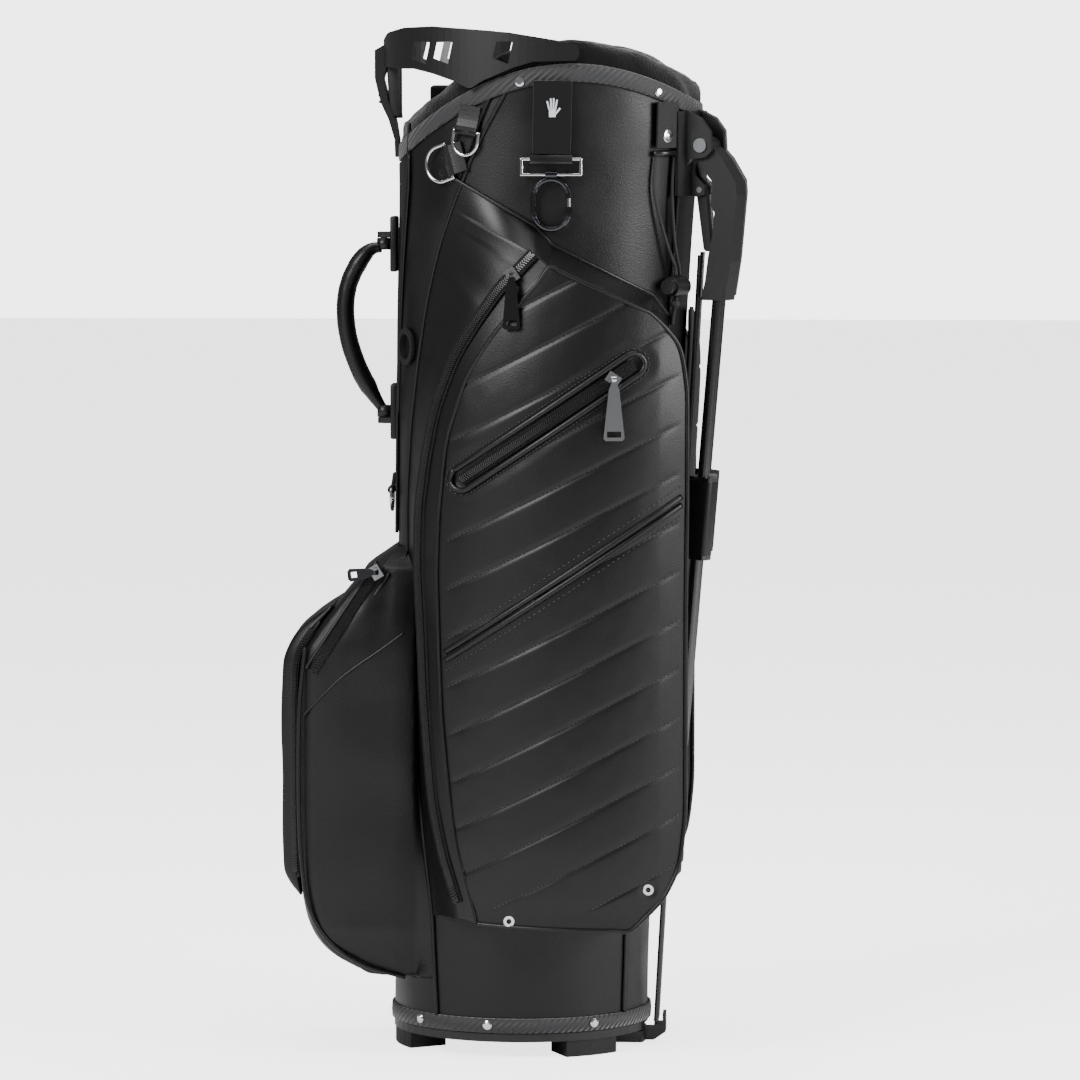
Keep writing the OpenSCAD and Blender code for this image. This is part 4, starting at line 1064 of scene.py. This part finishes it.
# Snap tab: a short leather strap with a press stud that holds the loose end of
# an elastic cord, which runs through a spring cord lock.
snap = strap("snap_tab_strap", [skin(-39, z, 0.0042) for z in (0.818, 0.805, 0.792, 0.779)], 0.026, 0.0026,
    (0.75, -0.66, 0))
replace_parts(snap, "snap_tab")
stud_at = skin(-39, 0.789, 0.0055)
turn_z = facing(-39, 0.789)
stud = bmesh.new()
face = Matrix.Translation(stud_at) @ Matrix.Rotation(turn_z, 4, "Z") @ Matrix.Rotation(math.pi / 2, 4, "Y")
bmesh.ops.create_cone(stud, segments=32, radius1=0.0062, radius2=0.0052, depth=0.0014, cap_ends=True,
    matrix=face)
bmesh.ops.create_cone(stud, segments=24, radius1=0.0030, radius2=0.0024, depth=0.0030, cap_ends=True,
    matrix=face)
bmesh.ops.bevel(stud, geom=stud.edges[:], offset=0.0003, segments=2, profile=0.5, affect="EDGES",
    material=-1)
piece("snap_stud", stud, chrome)
bar = bmesh.new()
bmesh.ops.create_cone(bar, segments=20, radius1=0.0026, radius2=0.0026, depth=0.027, cap_ends=True,
                      matrix=Matrix.Translation(skin(-39, 0.7745, 0.003)) @ Matrix.Rotation(turn_z, 4,
                      "Z") @ Matrix.Rotation(math.pi / 2, 4, "X"))
piece("snap_bar", bar, satin)
elastic = surface("braided_elastic", "#0f0f10", 0.7)
for way, word in ((-1, "low"), (1, "high")):
    route = [skin(-39 - way * 5.2, 0.7714, 0.003), skin(-39 - way * 5, 0.740, 0.004),
        skin(-35 - way * 2.6, 0.700, 0.007), skin(-31 - way * 1.2, 0.676, 0.0096),
        skin(-31 - way * 1.2, 0.670, 0.010)]
    strand_line = smooth_line(route, 0.003)
    strand = run(route, 0.0014, f"elastic_strand_{word}", elastic, sides=12, step=0.003)
    if way < 0:
        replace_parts(strand, "elastic_cord")
tail = [skin(-31, 0.652, 0.010), skin(-30.4, 0.646, 0.0085), skin(-29, 0.636, 0.005),
    skin(-28, 0.628, 0.0034)]
run(tail, 0.0020, "elastic_tail", elastic, sides=12, step=0.002)
knot = bmesh.new()
bmesh.ops.create_icosphere(knot, subdivisions=3, radius=0.0042, matrix=Matrix.Translation(tail[1]))
piece("elastic_knot", knot, elastic)

# D rings hang from folded leather tabs sewn into the seams.
straps = []
for name, turn_deg, z, roll_deg, width, back in (("side_ring_tab", -128, 0.768, -72, 0.026, 0.016),
    ("top_ring_tab", -120, 0.793, -8, 0.020, 0.022)):
    at = skin(turn_deg, z, 0.0042)
    out_turn = facing(turn_deg, z)
    m = Matrix.Translation(at) @ Matrix.Rotation(out_turn, 4, "Z") @ Matrix.Rotation(math.radians(roll_deg),
        4, "X")
    pts = [m @ Vector(p)
        for p in ((0.0030, 0, 0.0004), (0.0006, 0, 0.0036), (-0.0012, 0, 0.010), (-0.0022, 0, back))]
    straps.append(strap(name, pts, width, 0.0030, (m.to_3x3() @ Vector((1, 0, 0)))))
    fold = bmesh.new()
    bmesh.ops.create_cone(fold, segments=24, radius1=0.0034, radius2=0.0034, depth=width, cap_ends=True,
        matrix=m @ Matrix.Rotation(math.pi / 2, 4, "X"))
    piece(name + "_fold", fold, leather)
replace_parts(straps[0], "ring_straps")
spine_at = Vector((-lookup(0.482, FRONT_FACE) - 0.006, 0, 0.482))
strap("spine_ring_tab",
    [spine_at + Vector((-0.002, 0, 0.001)), spine_at + Vector((0.001, 0, 0.004)),
    spine_at + Vector((0.0026, 0, 0.014))], 0.020, 0.003, (-1, 0, 0))
fold = bmesh.new()
bmesh.ops.create_cone(fold, segments=24, radius1=0.0034, radius2=0.0034, depth=0.020, cap_ends=True,
    matrix=Matrix.Translation(spine_at) @ Matrix.Rotation(math.pi / 2, 4, "X"))
piece("spine_ring_tab_fold", fold, leather)

# Hip pad on the legs' side: foam in a breathable cloth cover, puffed towards
# its middle, sewn flat at its edge.
def pad_place(u, v):
    z = mix(0.335, 0.640, v)
    w = 2 * u - 1
    puff = (1 - w**4) * (1 - (2 * v - 1) ** 6)
    quilt = 1 - 0.12 * (abs(math.sin(v * math.pi * 6)) < 0.12)
    return Vector((mid_x(z) + half_x(z) + 0.0040 + 0.011 * puff * quilt, w * 0.025, z))


pad = thicken(piece("hip_pad_cover", laid(40, 120, pad_place), lining), 0.0034)
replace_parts(pad, "hip_pad")

# Each leg is a drawn tube with a rubber foot moulded over its end and a leather
# sleeve, sewn down its back, that the two tubes are strapped through.
for side, body, word in ((-1, "near_leg", "near"), (1, "far_leg", "far")):
    lean = Matrix.Rotation(math.radians(25 * side), 4, "Z")
    top, tip = Vector((0.017, 0, -0.056)), Vector((-0.035, 0, -0.631))
    along = (tip - top).normalized()
    length = (tip - top).length
    base = Matrix.Translation((0.163, side * 0.048, 0.781)) @ lean
    aim_m = along.to_track_quat("Z", "Y").to_matrix().to_4x4()

    def on_leg(down):
        return base @ Matrix.Translation(top + along * down) @ aim_m

    foot = bmesh.new()
    for a, b, r1, r2 in ((0, 0.024, 0.0077, 0.0097), (0.024, 0.030, 0.0097, 0.0097),
        (0.030, 0.0343, 0.0097, 0.0062)):
        bmesh.ops.create_cone(foot, segments=32, radius1=r1, radius2=r2, depth=b - a, cap_ends=True,
            matrix=on_leg(length - 0.034 + (a + b) / 2))
    piece(f"{word}_leg_foot", foot, rubber, body)
    down = (0.284 - 0.056) / abs(along.z)
    m = on_leg(down + 0.0355)
    sleeve = rounded_box((-0.0115, -0.0082, -0.0357), (0.0115, 0.0082, 0.0357), 0.0045, 4)
    bmesh.ops.transform(sleeve,
        matrix=base @ Matrix.Translation(top
        + along * (down + 0.0355)) @ Matrix.Rotation(math.atan2(along.x, along.z), 4, "Y"),
        verts=sleeve.verts)
    piece(f"{word}_leg_sleeve", sleeve, leather, body)
